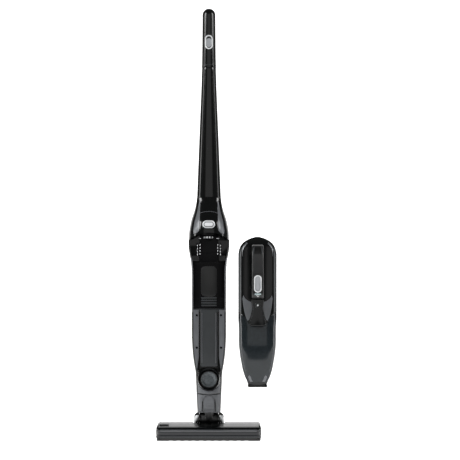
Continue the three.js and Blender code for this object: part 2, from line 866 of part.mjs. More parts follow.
function dockLiner() {
  const half = dock.rail + fit.seat;
  const heights = [dock.linerLow, 419, dock.linerHigh];
  const right = heights.map((z) => [stickHalf(z) - half, z]);
  const left = right.map(([x, z]) => [-x, z]).reverse();
  const back = dock.floor - fit.seat;
  let body = prism(outline([...right, ...left]), 'y', back - dock.linerThick, back);
  for (let i = 0; i < dock.louvres; i += 1) {
    const low = dock.louvreLow + i * dock.louvrePitch;
    const shape = roundRect(-dock.louvreHalf, dock.louvreHalf, low, low + dock.louvreHigh, 1.2);
    const slot = prism(shape, 'y', back - 9, back + 1, 0, 1);
    body = body.subtract(slot);
  }
  return body;
}

function cableCover() {
  const back = dock.floor - fit.seat;
  const shape = roundRect(-dock.coverHalf, dock.coverHalf, dock.coverLow, dock.coverHigh, 5);
  return prism(shape, 'y', back - dock.coverProud, back, 2);
}

/** One side panel of the dock, tapering to a point at its foot, with its two screw holes. */
function sidePanel(sign) {
  const edge = (z) => stickHalf(z) - dock.rail - fit.seat;
  const inner = dock.panelInner;
  const shape = outline([
    [inner, 190],
    [edge(dock.panelLow) - 3, dock.panelLow],
    [edge(180), 180],
    [edge(200), 200],
    [edge(240), 240],
    [edge(280), 280],
    [edge(dock.panelHigh), dock.panelHigh],
    [inner, dock.panelHigh],
  ]);
  const back = dock.floor - fit.seat;
  const front = back - dock.panelProud;
  let body = prism(shape, 'y', front, back);
  for (const z of dock.screwZ) {
    const counterbore = dock.screwThick + 1.2;
    const hole = rod('y', dock.screwRadius + fit.seat, [dock.screwX, z], front - 1, front + counterbore, 20);
    body = body.subtract(hole);
  }
  return sign > 0 ? body : mirrored(body);
}

function panelScrew(sign, z) {
  const front = dock.floor - fit.seat - dock.panelProud;
  const seat = front + 1.2 - fit.seat;
  const x = sign * dock.screwX;
  const driver = 0.5;
  const long = dock.screwRadius * 0.7;
  let body = rod('y', dock.screwRadius, [x, z], seat, seat + dock.screwThick, 20);
  const slotDepth = seat + dock.screwThick * 0.5;
  body = body.subtract(box(x - long, x + long, seat - 1, slotDepth, z - driver, z + driver));
  return body.subtract(box(x - driver, x + driver, seat - 1, slotDepth, z - long, z + long));
}

/** The hood's outer form, moved inwards by inset. */
function hoodForm(inset, low, high) {
  const rings = [low, 511, 522, 531, 542, 556, 570, 584, 598, high];
  const half = (z) => stickHalf(z) - inset;
  const front = (z) => hoodFront(z) + inset;
  return loft(rings, half, front, (z) => stickBack(z) - inset, 2.5, 24);
}

function hoodShell() {
  const seam = hood.seam;
  let body = hoodForm(0, hood.low, stick.handleBase - fit.seat);
  body = body.subtract(hoodForm(hood.wall, hood.low - 1, 606));
  body = body.subtract(box(-past.side, past.side, seam, past.back, hood.low - 2, stick.handleBase + 1));
  const underLip = rod('y', hood.lipRadius, [0, hood.lipCentre - hood.lipRadius], -80, seam + 1, 72);
  body = body.subtract(underLip);
  const pocket = buttonOutline(fit.slide);
  return body.subtract(prism(pocket, 'y', -70, -30));
}

/** The release button's outline, grown by grow. */
function buttonOutline(grow) {
  const half = hood.buttonHalf + grow;
  const high = hood.buttonHigh / 2 + grow;
  return roundRect(-half, half, hood.buttonZ - high, hood.buttonZ + high, high - 0.2);
}

function releaseButton() {
  const front = hoodFront(hood.buttonZ) - 1.6;
  return prism(buttonOutline(0), 'y', front, front + hood.buttonThick, 1.5, 4);
}

function latchHook() {
  const tip = unit.top + 1;
  const back = hoodFront(hood.buttonZ) + hood.buttonThick + hood.buttonTravel + 1;
  const side = outline([
    [back, tip + 3],
    [back + 5, tip],
    [back + 9, tip],
    [back + 9, hood.buttonZ + 6],
    [back + 5, hood.buttonZ + 6],
    [back + 5, tip + 5],
  ]);
  return prism(side, 'x', -hood.hookHalf, hood.hookHalf);
}

function contactBlock() {
  const back = dock.floor - fit.seat;
  const front = back - contact.proud;
  const bulge = 4;
  const side = outline([
    [back, contact.low - 26],
    [front + 2, contact.low - 24],
    [front - 1, contact.low - 14],
    [front + 2, contact.low - bulge],
    [front, contact.low],
    [front, contact.high - 6],
    [front + 4, contact.high],
    [back, contact.high],
  ]);
  let body = prism(side, 'x', -contact.half, contact.half, 1.5);
  for (const sign of [-1, 1]) {
    const centre = [sign * contact.pinX, contact.pinZ];
    body = body.subtract(rod('y', contact.pinRadius + fit.seat, centre, front - 2, front + 5, 20));
  }
  return body;
}

function contactPin(sign) {
  const front = dock.floor - fit.seat - contact.proud;
  const centre = [sign * contact.pinX, contact.pinZ];
  return rod('y', contact.pinRadius, centre, front - contact.pinProud, front + 4, 20);
}

/** The handle's tapering form between two heights, moved inwards by inset. */
function handleForm(inset, low, high, steps) {
  const half = (z) => stickHalf(z) - inset;
  const front = (z) => stickFront(z) + inset;
  return loft(levels(low, high, steps), half, front, (z) => stickBack(z) - inset);
}

function handleShell(isFront) {
  const low = stick.handleBase;
  const high = stick.gripBase - fit.seat;
  const tube = handleForm(0, low, high, 6).subtract(handleForm(stick.wall, low - 1, high + 1, 5));
  const seam = stick.splitY;
  const gap = fit.seat / 2;
  const [from, to] = isFront ? [seam - gap, past.back] : [past.front, seam + gap];
  const other = box(-past.side, past.side, from, to, low - 2, high + 2);
  return tube.subtract(other);
}

function gripSleeve() {
  const domeLow = stick.top - stick.crown;
  const round = (z) => Math.sqrt(Math.max(0.04, 1 - Math.max(0, (z - domeLow) / stick.crown) ** 2));
  const rings = [stick.gripBase, 1030, domeLow, domeLow + 7, domeLow + 12, domeLow + 15.5, stick.top];
  const half = (z) => stickHalf(z) * round(z);
  const front = (z) => stickFront(z) * round(z);
  const back = (z) => stickBack(z) * round(z);
  let body = loft(rings, half, front, back);
  body = body.subtract(handleForm(stick.wall, stick.gripBase - 1, domeLow, 2));
  const front0 = stickFront(powerSwitch.z);
  const pocket = bezelOutline(powerSwitch.half + fit.seat, powerSwitch.high / 2 + fit.seat);
  return body.subtract(prism(pocket, 'y', front0 - 5, front0 + stick.wall + 1));
}

/** An oval outline round the power switch's centre. */
function bezelOutline(half, high) {
  return roundRect(-half, half, powerSwitch.z - high, powerSwitch.z + high, half - 0.2);
}

function switchBezel() {
  const front = stickFront(powerSwitch.z) - powerSwitch.proud;
  const body = prism(bezelOutline(powerSwitch.half, powerSwitch.high / 2), 'y', front, front + 5, 1, 4);
  const slot = bezelOutline(powerSwitch.half - powerSwitch.ring, powerSwitch.high / 2 - powerSwitch.ring);
  return body.subtract(prism(slot, 'y', front - 1, front + 6, 0, 4));
}

function powerSlider() {
  const front = stickFront(powerSwitch.z) - powerSwitch.proud;
  const half = powerSwitch.half - powerSwitch.ring - fit.slide;
  const top = powerSwitch.z + powerSwitch.high / 2 - powerSwitch.ring - powerSwitch.travel - fit.slide;
  const shape = roundRect(-half, half, top - powerSwitch.slotHigh, top, half - 0.2);
  return prism(shape, 'y', front - 0.6, front + 4, 0.6);
}

// ---------------------------------------------------------------- hand unit, drawn in its docked place

const handUnit = new THREE.Group();
handUnit.position.set(unit.awayX, unit.awayY, unit.awayZ);
vacuum.add(handUnit);

const unitHalfWidth = unit.width / 2;
// The half-width at each height, as a share of the widest.
const unitShare = stations([
  [unit.bottom, 0.311], [134, 0.445], [138, 0.497], [147, 0.563], [156, 0.652], [166, 0.720],
  [176, 0.778], [191, 0.839], [205, 0.890], [220, 0.932], [240, 0.965], [275, 0.969], [305, 1.000],
  [380, 1.000], [463, 1.000], [473, 0.963], [480, 0.919], [486, 0.857], [492, 0.754], [498, 0.588],
  [503, 0.362], [unit.top, 0.104],
]);
const unitHalf = (z) => unitHalfWidth * unitShare(z);
const recessHalf = unitHalfWidth - unit.recessRim;
const recessCorner = recessHalf - unit.recessFlat;
const batteryHalf = unitHalfWidth - inside.batteryRim;
const bodyFrontY = unit.back - unit.depth;
const unitFront = stations([
  [unit.bottom, -47], [134, -51], [147, -56], [170, -62], [205, -68], [240, -71.5], [283, -72],
  [320, bodyFrontY],
  [470, bodyFrontY], [484, bodyFrontY + 3], [496, bodyFrontY + 11], [503, bodyFrontY + 20],
  [unit.top, -46],
]);
const nearBack = unit.back - unit.mouthLong - 2;
const unitBack = stations([
  [unit.bottom, nearBack - 6], [134, nearBack - 2], [140, nearBack], [170, nearBack], [190, -23],
  [205, unit.back - 0.4],
  [220, unit.back], [470, unit.back], [484, unit.back - 1.5], [496, unit.back - 8],
  [503, unit.back - 16], [unit.top, -42],
]);

/** The hand unit's outer form between two heights, moved inwards by inset. */
function unitForm(inset, rings) {
  const half = (z) => unitHalf(z) - inset;
  return loft(rings, half, (z) => unitFront(z) + inset, (z) => unitBack(z) - inset, 3.4, 20);
}

/** Everything above the line where the container meets the housing, raised by lift. */
function aboveSeam(lift) {
  const corner = [[past.side, unit.seamSide], [40, unit.seamSide]];
  const right = [...corner, [30, 305], [22, 291], [16, unit.seamCentre]];
  const left = right.map(([x, z]) => [-x, z]).reverse();
  const line = [...right, ...left].map(([x, z]) => [x, z + lift]);
  return outline([...line, [-past.side, past.high], [past.side, past.high]]);
}

const housingRings = [276, 300, 320, 400, 463, 475, 484, 492, 498, 503, unit.top];

function housingForm() {
  const outer = unitForm(0, housingRings);
  const innerRings = [250, 300, 320, 463, 475, 486, 494, 499];
  const shell = outer.subtract(unitForm(unit.wall, innerRings));
  return shell.intersect(prism(aboveSeam(fit.seat / 2), 'y', past.front, 0));
}

function housingRear() {
  const face = unit.split + fit.seat / 2;
  let body = housingForm().subtract(box(-past.side, past.side, past.front, face, past.low, past.high));
  for (let i = 0; i < inside.grilleSlots; i += 1) {
    const low = inside.grilleLow + i * inside.grillePitch;
    const shape = roundRect(-inside.grilleHalf, inside.grilleHalf, low, low + inside.grilleHigh, 1.6);
    body = body.subtract(prism(shape, 'y', unit.back - unit.wall - 2, unit.back + 2, 0, 1));
  }
  return body;
}

function housingFront() {
  const face = unit.split - fit.seat / 2;
  let body = housingForm().subtract(box(-past.side, past.side, face, past.back, past.low, past.high));
  const recess = roundRect(-recessHalf, recessHalf, unit.recessLow, unit.recessHigh, recessCorner);
  const floor = bodyFrontY + unit.recessDeep;
  const grown = roundRect(
    -recessHalf - unit.wall, recessHalf + unit.wall,
    unit.recessLow - unit.wall, unit.recessHigh + unit.wall, recessCorner + unit.wall,
  );
  const cup = prism(grown, 'y', bodyFrontY + 0.5, floor + unit.wall).intersect(unitForm(0.2, housingRings));
  body = body.add(cup);
  return body.subtract(prism(recess, 'y', -90, floor));
}

/** The bar handle's side profile with the finger gap left open. */
function barHandle() {
  const front = bar.front;
  const back = front + bar.thick;
  const foot = bodyFrontY - fit.seat;
  const side = new THREE.Shape();
  side.moveTo(foot, bar.low);
  side.lineTo(trunk.front + 1, bar.low);
  side.quadraticCurveTo(front + 1, bar.low + 4, front, bar.low + 24);
  side.lineTo(front, bar.high - 34);
  side.quadraticCurveTo(front + 1, bar.high - 4, front + 26, bar.high - 1);
  side.lineTo(foot, bar.high - 12);
  side.lineTo(foot, bar.high - 30);
  side.lineTo(foot - 6, bar.high - 26);
  side.quadraticCurveTo(back, bar.high - 22, back, bar.high - 46);
  side.lineTo(back, bar.low + 36);
  side.quadraticCurveTo(back, bar.low + 18, foot - 8, bar.low + 15);
  side.lineTo(foot, bar.low + 14);
  const body = prism(side, 'x', -bar.half, bar.half, 2.5);
  const switchPocket = pill(bar.switchHalf + fit.seat, bar.switchLow - fit.seat, bar.switchHigh + fit.seat);
  const sunk = front + bar.switchThick + 3;
  return body.subtract(prism(switchPocket, 'y', front - 4, sunk, 0, 4)).subtract(lightBar(fit.seat));
}

/** An upright outline with round ends. */
function pill(half, low, high) {
  return roundRect(-half, half, low, high, half - 0.2);
}

function gripPad() {
  const front = bar.front - fit.seat;
  return prism(pill(bar.padHalf * 0.95, bar.padLow, bar.padHigh), 'y', front - bar.padThick, front, 0.6, 4);
}

function unitSwitchBezel() {
  const front = bar.front - bar.switchThick;
  const body = prism(pill(bar.switchHalf, bar.switchLow, bar.switchHigh), 'y', front, bar.front + 4, 0.8, 4);
  const slot = pill(bar.sliderHalf + fit.slide, bar.switchLow + 5, bar.switchHigh - 5);
  return body.subtract(prism(slot, 'y', front - 1, bar.front + 5, 0, 4));
}

function unitSlider() {
  const front = bar.front - bar.switchThick - 0.8;
  const low = bar.switchLow + 5 + fit.slide;
  return prism(pill(bar.sliderHalf, low, low + bar.sliderHigh), 'y', front, bar.front + 3.5, 0.6, 4);
}

function lightBar(grow) {
  const half = bar.lightHalf + grow;
  const z = bar.lightZ + 9;
  const high = bar.lightHigh / 2 + grow;
  return box(-half, half, bar.front - 4, bar.front + 7 + grow, z - high, z + high);
}

function lightLens() {
  const lens = lightBar(0);
  return lens.subtract(box(-20, 20, bar.front - 9, bar.front - 0.4, bar.low, bar.high));
}

function trunkCover() {
  const foot = bodyFrontY - fit.seat;
  const clear = -72 - 1.2;
  const shape = roundRect(-trunk.half, trunk.half, trunk.low, trunk.high, 7);
  const side = outline([
    [clear, trunk.low],
    [trunk.frontLow, trunk.low],
    [trunk.frontLow - 6, trunk.low + 8],
    [trunk.front, trunk.high - 16],
    [trunk.front, trunk.high],
    [foot, trunk.high],
    [foot, 330],
    [clear, 318],
  ]);
  let body = prism(side, 'x', -trunk.half, trunk.half, 2.5).intersect(prism(shape, 'y', -120, -60));
  const grow = fit.slide;
  const high = trunkButton.high / 2;
  const pocket = roundRect(
    -trunk.buttonHalf - grow, trunk.buttonHalf + grow,
    trunk.buttonZ - high - grow, trunk.buttonZ + high + grow, 5,
  );
  const deep = trunk.front + trunkButton.thick + trunkButton.travel + 1;
  return body.subtract(prism(pocket, 'y', trunk.front - 4, deep));
}

function containerButton() {
  const high = trunkButton.high / 2;
  const [low, top] = [trunk.buttonZ - high, trunk.buttonZ + high];
  const shape = roundRect(-trunk.buttonHalf, trunk.buttonHalf, low, top, 5);
  const front = trunk.front - trunkButton.proud;
  return prism(shape, 'y', front, front + trunkButton.thick, 0.8);
}

function unitMotor() {
  const centre = [0, inside.filterY];
  const can = rod('z', inside.motorRadius, centre, inside.motorLow, inside.motorHigh, 24);
  return can.add(rod('z', 7, centre, inside.motorHigh - 1, inside.motorHigh + 6, 16));
}

function fanRotor() {
  const top = inside.motorLow - fit.turn;
  const low = top - inside.fanHigh;
  const y = inside.filterY;
  const disc = rod('z', inside.fanRadius, [0, y], top - 1.5, top, 24);
  let body = disc.add(rod('z', 5, [0, y], low - 1, top - 1, 16));
  for (let i = 0; i < inside.fanBlades; i += 1) {
    const blade = box(4, inside.fanRadius - 0.6, -0.6, 0.6, low, top - 1);
    const turn = (i * 360) / inside.fanBlades;
    body = body.add(blade.rotate([0, 0, turn]).translate([0, y, 0]));
  }
  return body;
}

/** The cells of the battery as one block with rounded flutes. */
function batteryPack() {
  const y = inside.batteryY;
  const radius = inside.batteryThick / 2;
  const count = inside.batteryCells;
  const pitch = (2 * batteryHalf - 2 * radius) / (count - 1);
  const webHalf = batteryHalf - 4;
  let body = box(-webHalf, webHalf, y - 4, y + 4, inside.batteryLow, inside.batteryHigh);
  for (let i = 0; i < count; i += 1) {
    const x = -batteryHalf + radius + i * pitch;
    body = body.add(rod('z', radius, [x, y], inside.batteryLow, inside.batteryHigh, 20));
  }
  return body;
}

function dustContainer() {
  const rings = [unit.tipTop + fit.seat, 156, 168, 190, 205, 222, 245, 283, 320];
  const innerRings = [unit.tipTop + 4, 156, 168, 190, 205, 222, 245, 283, 321];
  let body = unitForm(0, rings).subtract(unitForm(unit.wall - 0.4, innerRings));
  body = body.subtract(prism(aboveSeam(-fit.seat / 2), 'y', past.front, 0));
  const reach = unit.mouthLong + 8;
  const tube = rod('y', unit.mouthRadius, [0, 0], -reach, -0.8, 24);
  const bore = rod('y', unit.mouthBore, [0, 0], -reach - 6, 1, 24);
  body = body.add(atPort(tube).intersect(mouthKeep()));
  return body.subtract(atPort(bore));
}

/** The part of the mouth's tube that reaches the container's wall but stays out of its middle. */
function mouthKeep() {
  return box(-30, 30, nearBack - unit.wall - 2, 20, unit.bottom, 200);
}

function noseTip() {
  const rings = [unit.bottom, 132, 134, 138, unit.tipTop];
  const mouth = rod('y', unit.mouthRadius + fit.seat, [0, 0], -unit.mouthLong - 10, 2, 24);
  return unitForm(0, rings).subtract(atPort(mouth));
}

/** The flap that shuts the mouth from inside, hung from its upper edge. */
function intakeFlap() {
  const inner = nearBack - unit.wall - 2 - fit.turn - 1;
  const z = port.z + 8;
  const disc = rod('y', inside.flapRadius, [0, z], inner - inside.flapThick, inner, 24);
  const bead = rod('x', 1.6, [inner - inside.flapThick / 2, z + inside.flapRadius], -8, 8, 12);
  return disc.add(bead);
}

function filterCone() {
  const y = inside.filterY;
  const top = unit.seamCentre + inside.filterRise;
  const low = inside.filterLow;
  return turned('z', [
    [0, low],
    [inside.filterTip, low],
    [inside.filterRadius, top - inside.filterFlange],
    [inside.filterRadius + 3, top - inside.filterFlange],
    [inside.filterRadius + 3, top],
    [0, top],
  ], [0, y, 0], 24);
}

// ---------------------------------------------------------------- assembly

add('head_base', satinBlack, headBase());
add('head_cover', glossBlack, headCover());
add('front_bumper', darkGrey, frontBumper());
add('end_cap_right', satinBlack, endCap());
add('end_cap_left', satinBlack, mirrored(endCap()));
add('sole_plate', satinBlack, solePlate());
add('cover_inlay', rubber, inlayStrip(0, 0.6));
add('head_duct', darkGrey, headDuct());
add('brush_motor', steel, rod('x', drive.motorRadius, [drive.motorY, drive.motorZ], ...motorSpan()));
add('motor_pulley', steel, motorPulley());
add('drive_belt', rubber, driveBelt());
add('brush_core', darkGrey, brushCore());
for (let i = 0; i < brush.strips; i += 1) {
  add(`bristle_strip_${i + 1}`, bristle, bristleStrip(i));
}
for (const [side, sign] of [['left', -1], ['right', 1]]) {
  add(`wheel_${side}`, rubber, rearWheel(sign));
  add(`pivot_cap_${side}`, silver, pivotCap(sign));
  add(`side_panel_${side}`, midGrey, sidePanel(sign));
  add(`contact_pin_${side}`, brass, contactPin(sign));
  dock.screwZ.forEach((z, i) => add(`panel_screw_${side}_${i + 1}`, steel, panelScrew(sign, z)));
}
add('knuckle_shell', satinBlack, knuckleShell());
add('neck_lower', darkGrey, neckLower());
add('head_release_tab', darkGrey, releaseTab());
add('neck_upper', midGrey, neckUpper());
add('bowl_ring', glossBlack, bowlRing());
add('port_collar', midGrey, portCollar());
add('frame_spine', satinBlack, frameSpine());
add('dock_liner', satinBlack, dockLiner());
add('cable_cover', darkGrey, cableCover());
add('hood_shell', glossBlack, hoodShell());
add('release_button', silver, releaseButton());
add('latch_hook', darkGrey, latchHook());
add('contact_block', satinBlack, contactBlock());
add('handle_front', glossBlack, handleShell(true));
add('handle_back', satinBlack, handleShell(false));
add('grip_sleeve', glossBlack, gripSleeve());
add('switch_bezel', silver, switchBezel());
add('power_switch', midGrey, powerSlider());

add('housing_rear', satinBlack, housingRear(), handUnit);
add('housing_front', glossBlack, housingFront(), handUnit);
add('bar_handle', glossBlack, barHandle(), handUnit);
add('grip_pad', rubber, gripPad(), handUnit);
add('unit_switch_bezel', silver, unitSwitchBezel(), handUnit);
add('unit_switch', midGrey, unitSlider(), handUnit);
add('light_lens', tealLight, lightLens(), handUnit);
add('trunk_cover', satinBlack, trunkCover(), handUnit);
add('container_button', darkGrey, containerButton(), handUnit);
add('unit_motor', steel, unitMotor(), handUnit);
add('fan_rotor', darkGrey, fanRotor(), handUnit);
add('battery_pack', darkGrey, batteryPack(), handUnit);
add('dust_container', smokeClear, dustContainer(), handUnit);
add('nose_tip', satinBlack, noseTip(), handUnit);
add('intake_flap', rubber, intakeFlap(), handUnit);
add('filter_cone', paleFilter, filterCone(), handUnit);

export default vacuum;
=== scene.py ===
"""Looks for the cordless stick vacuum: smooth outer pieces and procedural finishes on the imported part."""

import json
import logging
import math
from dataclasses import dataclass
from enum import Enum

import bmesh
import bpy
from mathutils import Matrix, Vector


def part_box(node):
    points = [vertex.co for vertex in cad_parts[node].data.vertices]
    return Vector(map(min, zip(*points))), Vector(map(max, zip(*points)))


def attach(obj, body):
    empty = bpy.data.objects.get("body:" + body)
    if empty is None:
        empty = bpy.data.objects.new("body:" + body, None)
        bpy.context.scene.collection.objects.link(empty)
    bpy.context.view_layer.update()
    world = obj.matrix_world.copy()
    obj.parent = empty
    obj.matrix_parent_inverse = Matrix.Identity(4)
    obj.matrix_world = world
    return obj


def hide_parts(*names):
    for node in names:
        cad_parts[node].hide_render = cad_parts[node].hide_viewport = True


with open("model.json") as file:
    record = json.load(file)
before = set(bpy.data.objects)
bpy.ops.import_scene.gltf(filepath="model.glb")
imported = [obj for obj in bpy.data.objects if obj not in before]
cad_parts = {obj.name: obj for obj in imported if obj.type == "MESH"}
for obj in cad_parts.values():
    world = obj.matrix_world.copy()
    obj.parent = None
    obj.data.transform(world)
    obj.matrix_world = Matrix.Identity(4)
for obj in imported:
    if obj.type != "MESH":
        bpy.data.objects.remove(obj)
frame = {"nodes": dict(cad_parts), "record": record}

MM = 0.001
LOG = logging.getLogger("vacuum")
Point2 = tuple[float, float]
ACROSS = Vector((1, 0, 0))
FORWARD = Vector((0, -1, 0))
UP = Vector((0, 0, 1))


# ---------------------------------------------------------------- finishes


def colour(code: str) -> tuple[float, float, float, float]:
    """Turns an sRGB hex code such as '#202224' into a linear colour."""
    channels = [int(code[i : i + 2], 16) / 255 for i in (1, 3, 5)]
    linear = [c / 12.92 if c <= 0.04045 else ((c + 0.055) / 1.055) ** 2.4 for c in channels]
    return (*linear, 1.0)


def node(tree: bpy.types.NodeTree, kind: str, settings: dict | None = None, **inputs) -> bpy.types.Node:
    """Adds one shader node.

    Args:
        tree: the material's or world's node tree.
        kind: the node's type name.
        settings: properties set on the node itself.
        inputs: socket values or links, with spaces in a socket's name written as underscores.

    Returns:
        The new node.
    """
    made = tree.nodes.new(kind)
    for key, value in (settings or {}).items():
        setattr(made, key, value)
    for key, value in inputs.items():
        socket = made.inputs[key.replace("_", " ")]
        if isinstance(value, bpy.types.NodeSocket):
            tree.links.new(value, socket)
        else:
            socket.default_value = value
    return made


class Pattern(Enum):
    """The surface relief of a finish."""

    PEEL = "peel"  # the faint waviness of a polished moulding
    GRAIN = "grain"  # spark-eroded moulding texture
    BRUSHED = "brushed"  # drawn lines in metal
    KNURL = "knurl"  # a grid of small raised diamonds
    WEAVE = "weave"  # cloth
    FIBRE = "fibre"  # fine upright hairs


@dataclass(frozen=True)
class Finish:
    """A real material, its colour and how its surface catches light."""

    name: str
    base: str
    second: str
    rough: float
    slot: str
    pattern: Pattern = Pattern.PEEL
    pitch: float = 2.0  # millimetres between the pattern's repeats
    relief: float = 0.05
    metallic: float = 0.0
    ior: float = 1.5
    transmission: float = 0.0
    glow: float = 0.0
    cloud: float = 22.0  # millimetres across each cloud of the two colours
    gleam: float = 0.5  # how much of the bare surface's reflection stays

    def material(self) -> bpy.types.Material:
        """Builds the material once and gives the same one back afterwards."""
        found = bpy.data.materials.get(self.name)
        if found:
            return found
        made = bpy.data.materials.new(self.name)
        made.use_nodes = True
        tree = made.node_tree
        tree.nodes.clear()
        place = node(tree, "ShaderNodeTexCoord").outputs["Object"]
        height = self.height(tree, place)
        cloud = node(
            tree, "ShaderNodeTexNoise", Vector=place, Scale=1 / (self.cloud * MM), Detail=3.0
        ).outputs["Fac"]
        mixed = node(
            tree, "ShaderNodeMixRGB", Fac=cloud, Color1=colour(self.base), Color2=colour(self.second)
        )
        wear = node(
            tree, "ShaderNodeMapRange", Value=cloud, To_Min=self.rough * 0.85, To_Max=self.rough * 1.15
        )
        bump = node(tree, "ShaderNodeBump", Strength=self.relief, Distance=0.2 * MM, Height=height)
        shader = node(
            tree,
            "ShaderNodeBsdfPrincipled",
            Base_Color=mixed.outputs["Color"],
            Roughness=wear.outputs["Result"],
            Metallic=self.metallic,
            IOR=self.ior,
            Specular_IOR_Level=self.gleam,
            Transmission_Weight=self.transmission,
            Normal=bump.outputs["Normal"],
            Emission_Color=colour(self.base),
            Emission_Strength=self.glow,
        )
        node(tree, "ShaderNodeOutputMaterial", Surface=shader.outputs["BSDF"])
        return made

    def height(self, tree: bpy.types.NodeTree, place: bpy.types.NodeSocket) -> bpy.types.NodeSocket:
        """The pattern's height, as a socket."""
        scale = 1 / (self.pitch * MM)
        if self.pattern is Pattern.KNURL:
            turned = node(tree, "ShaderNodeMapping", Vector=place, Rotation=(0, 0, math.radians(45)))
            cells = node(
                tree, "ShaderNodeTexVoronoi", Vector=turned.outputs["Vector"], Scale=scale, Randomness=0.0
            )
            return cells.outputs["Distance"]
        if self.pattern in (Pattern.BRUSHED, Pattern.FIBRE):
            stretch = (scale, scale, scale * 0.03) if self.pattern is Pattern.FIBRE else (
                scale * 0.04, scale, scale
            )
            long = node(tree, "ShaderNodeMapping", Vector=place, Scale=stretch)
            return node(tree, "ShaderNodeTexNoise", Vector=long.outputs["Vector"], Scale=1.0).outputs["Fac"]
        if self.pattern is Pattern.WEAVE:
            along = node(tree, "ShaderNodeTexWave", {"bands_direction": "Z"}, Vector=place, Scale=scale / 6)
            across = node(tree, "ShaderNodeTexWave", {"bands_direction": "X"}, Vector=place, Scale=scale / 6)
            return node(
                tree, "ShaderNodeMixRGB", Fac=0.5, Color1=along.outputs["Color"], Color2=across.outputs[
                    "Color"
                ]
            ).outputs["Color"]
        return node(tree, "ShaderNodeTexNoise", Vector=place, Scale=scale, Detail=2.0).outputs["Fac"]


# Polished ABS: deep black that mirrors the softboxes.
GLOSS = Finish(
    "polished_black_abs", "#030404", "#060707", 0.13, "gloss_black", pitch=9.0, relief=0.02, gleam=0.4
)
# Black ABS of the dock's recess and pocket with its reflection turned down: painted shade for the shade that
# falls in these hollows.
SHADED_BLACK = Finish(
    "black_abs_painted_shade", "#020203", "#050506", 0.26, "gloss_black", pitch=9.0, relief=0.02, gleam=0.12
)
# Fine-textured ABS: black that spreads its highlights.
SATIN = Finish("satin_black_abs", "#040505", "#090a0a", 0.34, "satin_black", Pattern.GRAIN, 0.5, 0.12)
# Charcoal moulding of the head's front band.
CHARCOAL = Finish("charcoal_abs", "#0e1012", "#14161a", 0.3, "dark_grey", Pattern.GRAIN, 0.6, 0.08)
# Dark grey satin of the cable cover, the louvres and the unit's flanks.
DARK = Finish("dark_grey_abs", "#1f2224", "#282b2d", 0.34, "dark_grey", Pattern.GRAIN, 0.5, 0.1)
# Graphite metallic paint of the neck and the panels; the same grey also makes the painted highlights on the
# canopy, the hand unit's shoulders, the bin, the nose and the head's upper lip.
GREY = Finish(
    "graphite_painted_abs", "#55575a", "#606265", 0.33, "mid_grey", Pattern.GRAIN, 0.4, 0.06, metallic=0.25
)
# Light grey moulding of the sliding caps.
PALE = Finish("light_grey_abs", "#8a8c8f", "#94969a", 0.35, "mid_grey", Pattern.GRAIN, 0.4, 0.05)
# Vacuum-plated silver of the switches and the pivots.
SILVER = Finish(
    "satin_plated_silver", "#d8dadc", "#dfe1e2", 0.26, "silver", pitch=6.0, relief=0.02, metallic=0.35
)
# Drawn steel of the pins and the motors: long soft streaks.
STEEL = Finish("brushed_steel", "#9a9c9e", "#a5a7a8", 0.3, "steel", Pattern.BRUSHED, 0.3, 0.2, metallic=1.0)
# Black-oxide steel of the screws: almost no shine, so each reads as a dark dimple.
BLACK_STEEL = Finish(
    "black_oxide_steel", "#0b0c0d", "#15171a", 0.42, "steel", Pattern.BRUSHED, 0.3, 0.2, metallic=1.0
)
# Black ABS of the head's top with its reflection turned down: painted shade, since the top lies flat under
# the light and would else turn grey.
HEAD_SHADED_BLACK = Finish(
    "head_black_painted_shade", "#010202", "#030404", 0.24, "gloss_black", pitch=9.0, relief=0.02, gleam=0.05
)
# Smoked film and collar in the port: the grey blotches are painted light, standing for the lit bore behind
# them.
PORT_FILM_PAINTED_LIGHT = Finish("port_film_painted_light", "#1c2022", "#62686b", 0.36, "mid_grey", Pattern.PEEL, 3.0, 0.3, cloud=3.2)
# Moulded rubber of the tyres, the belt and the seals: dull and slightly grey.
RUBBER = Finish("moulded_rubber", "#151515", "#1b1b1b", 0.7, "rubber", Pattern.GRAIN, 0.8, 0.3)
# Soft grip rubber with small raised diamonds, which break its highlight up.
KNURLED = Finish("knurled_soft_grip", "#0a0b0c", "#111213", 0.5, "rubber", Pattern.KNURL, 1.6, 0.7)
# Smoked polycarbonate: a tinted clear bin with the filter showing through it.
SMOKE = Finish(
    "smoked_polycarbonate", "#040506", "#262d31", 0.12, "smoke_clear", pitch=14.0, relief=0.05, ior=1.45,
    transmission=0.12, cloud=4.0,
)
# Woven filter cloth: pale, with a fine weave and no shine.
FILTER = Finish("pleated_filter_cloth", "#6d6f70", "#8c8d8c", 0.85, "filter_media", Pattern.WEAVE, 1.0, 0.4)
# Frosted lens of the light bar: a cool tint with a faint glow.
LENS = Finish("frosted_light_lens", "#9fb0b2", "#b2c0c1", 0.25, "light_lens", transmission=0.2, glow=0.12)
# Nylon bristles: fine hairs that stand out from the core.
NYLON = Finish("nylon_bristle", "#3b3d40", "#54575a", 0.55, "bristle", Pattern.FIBRE, 0.4, 0.8)


# ---------------------------------------------------------------- shapes, in millimetres


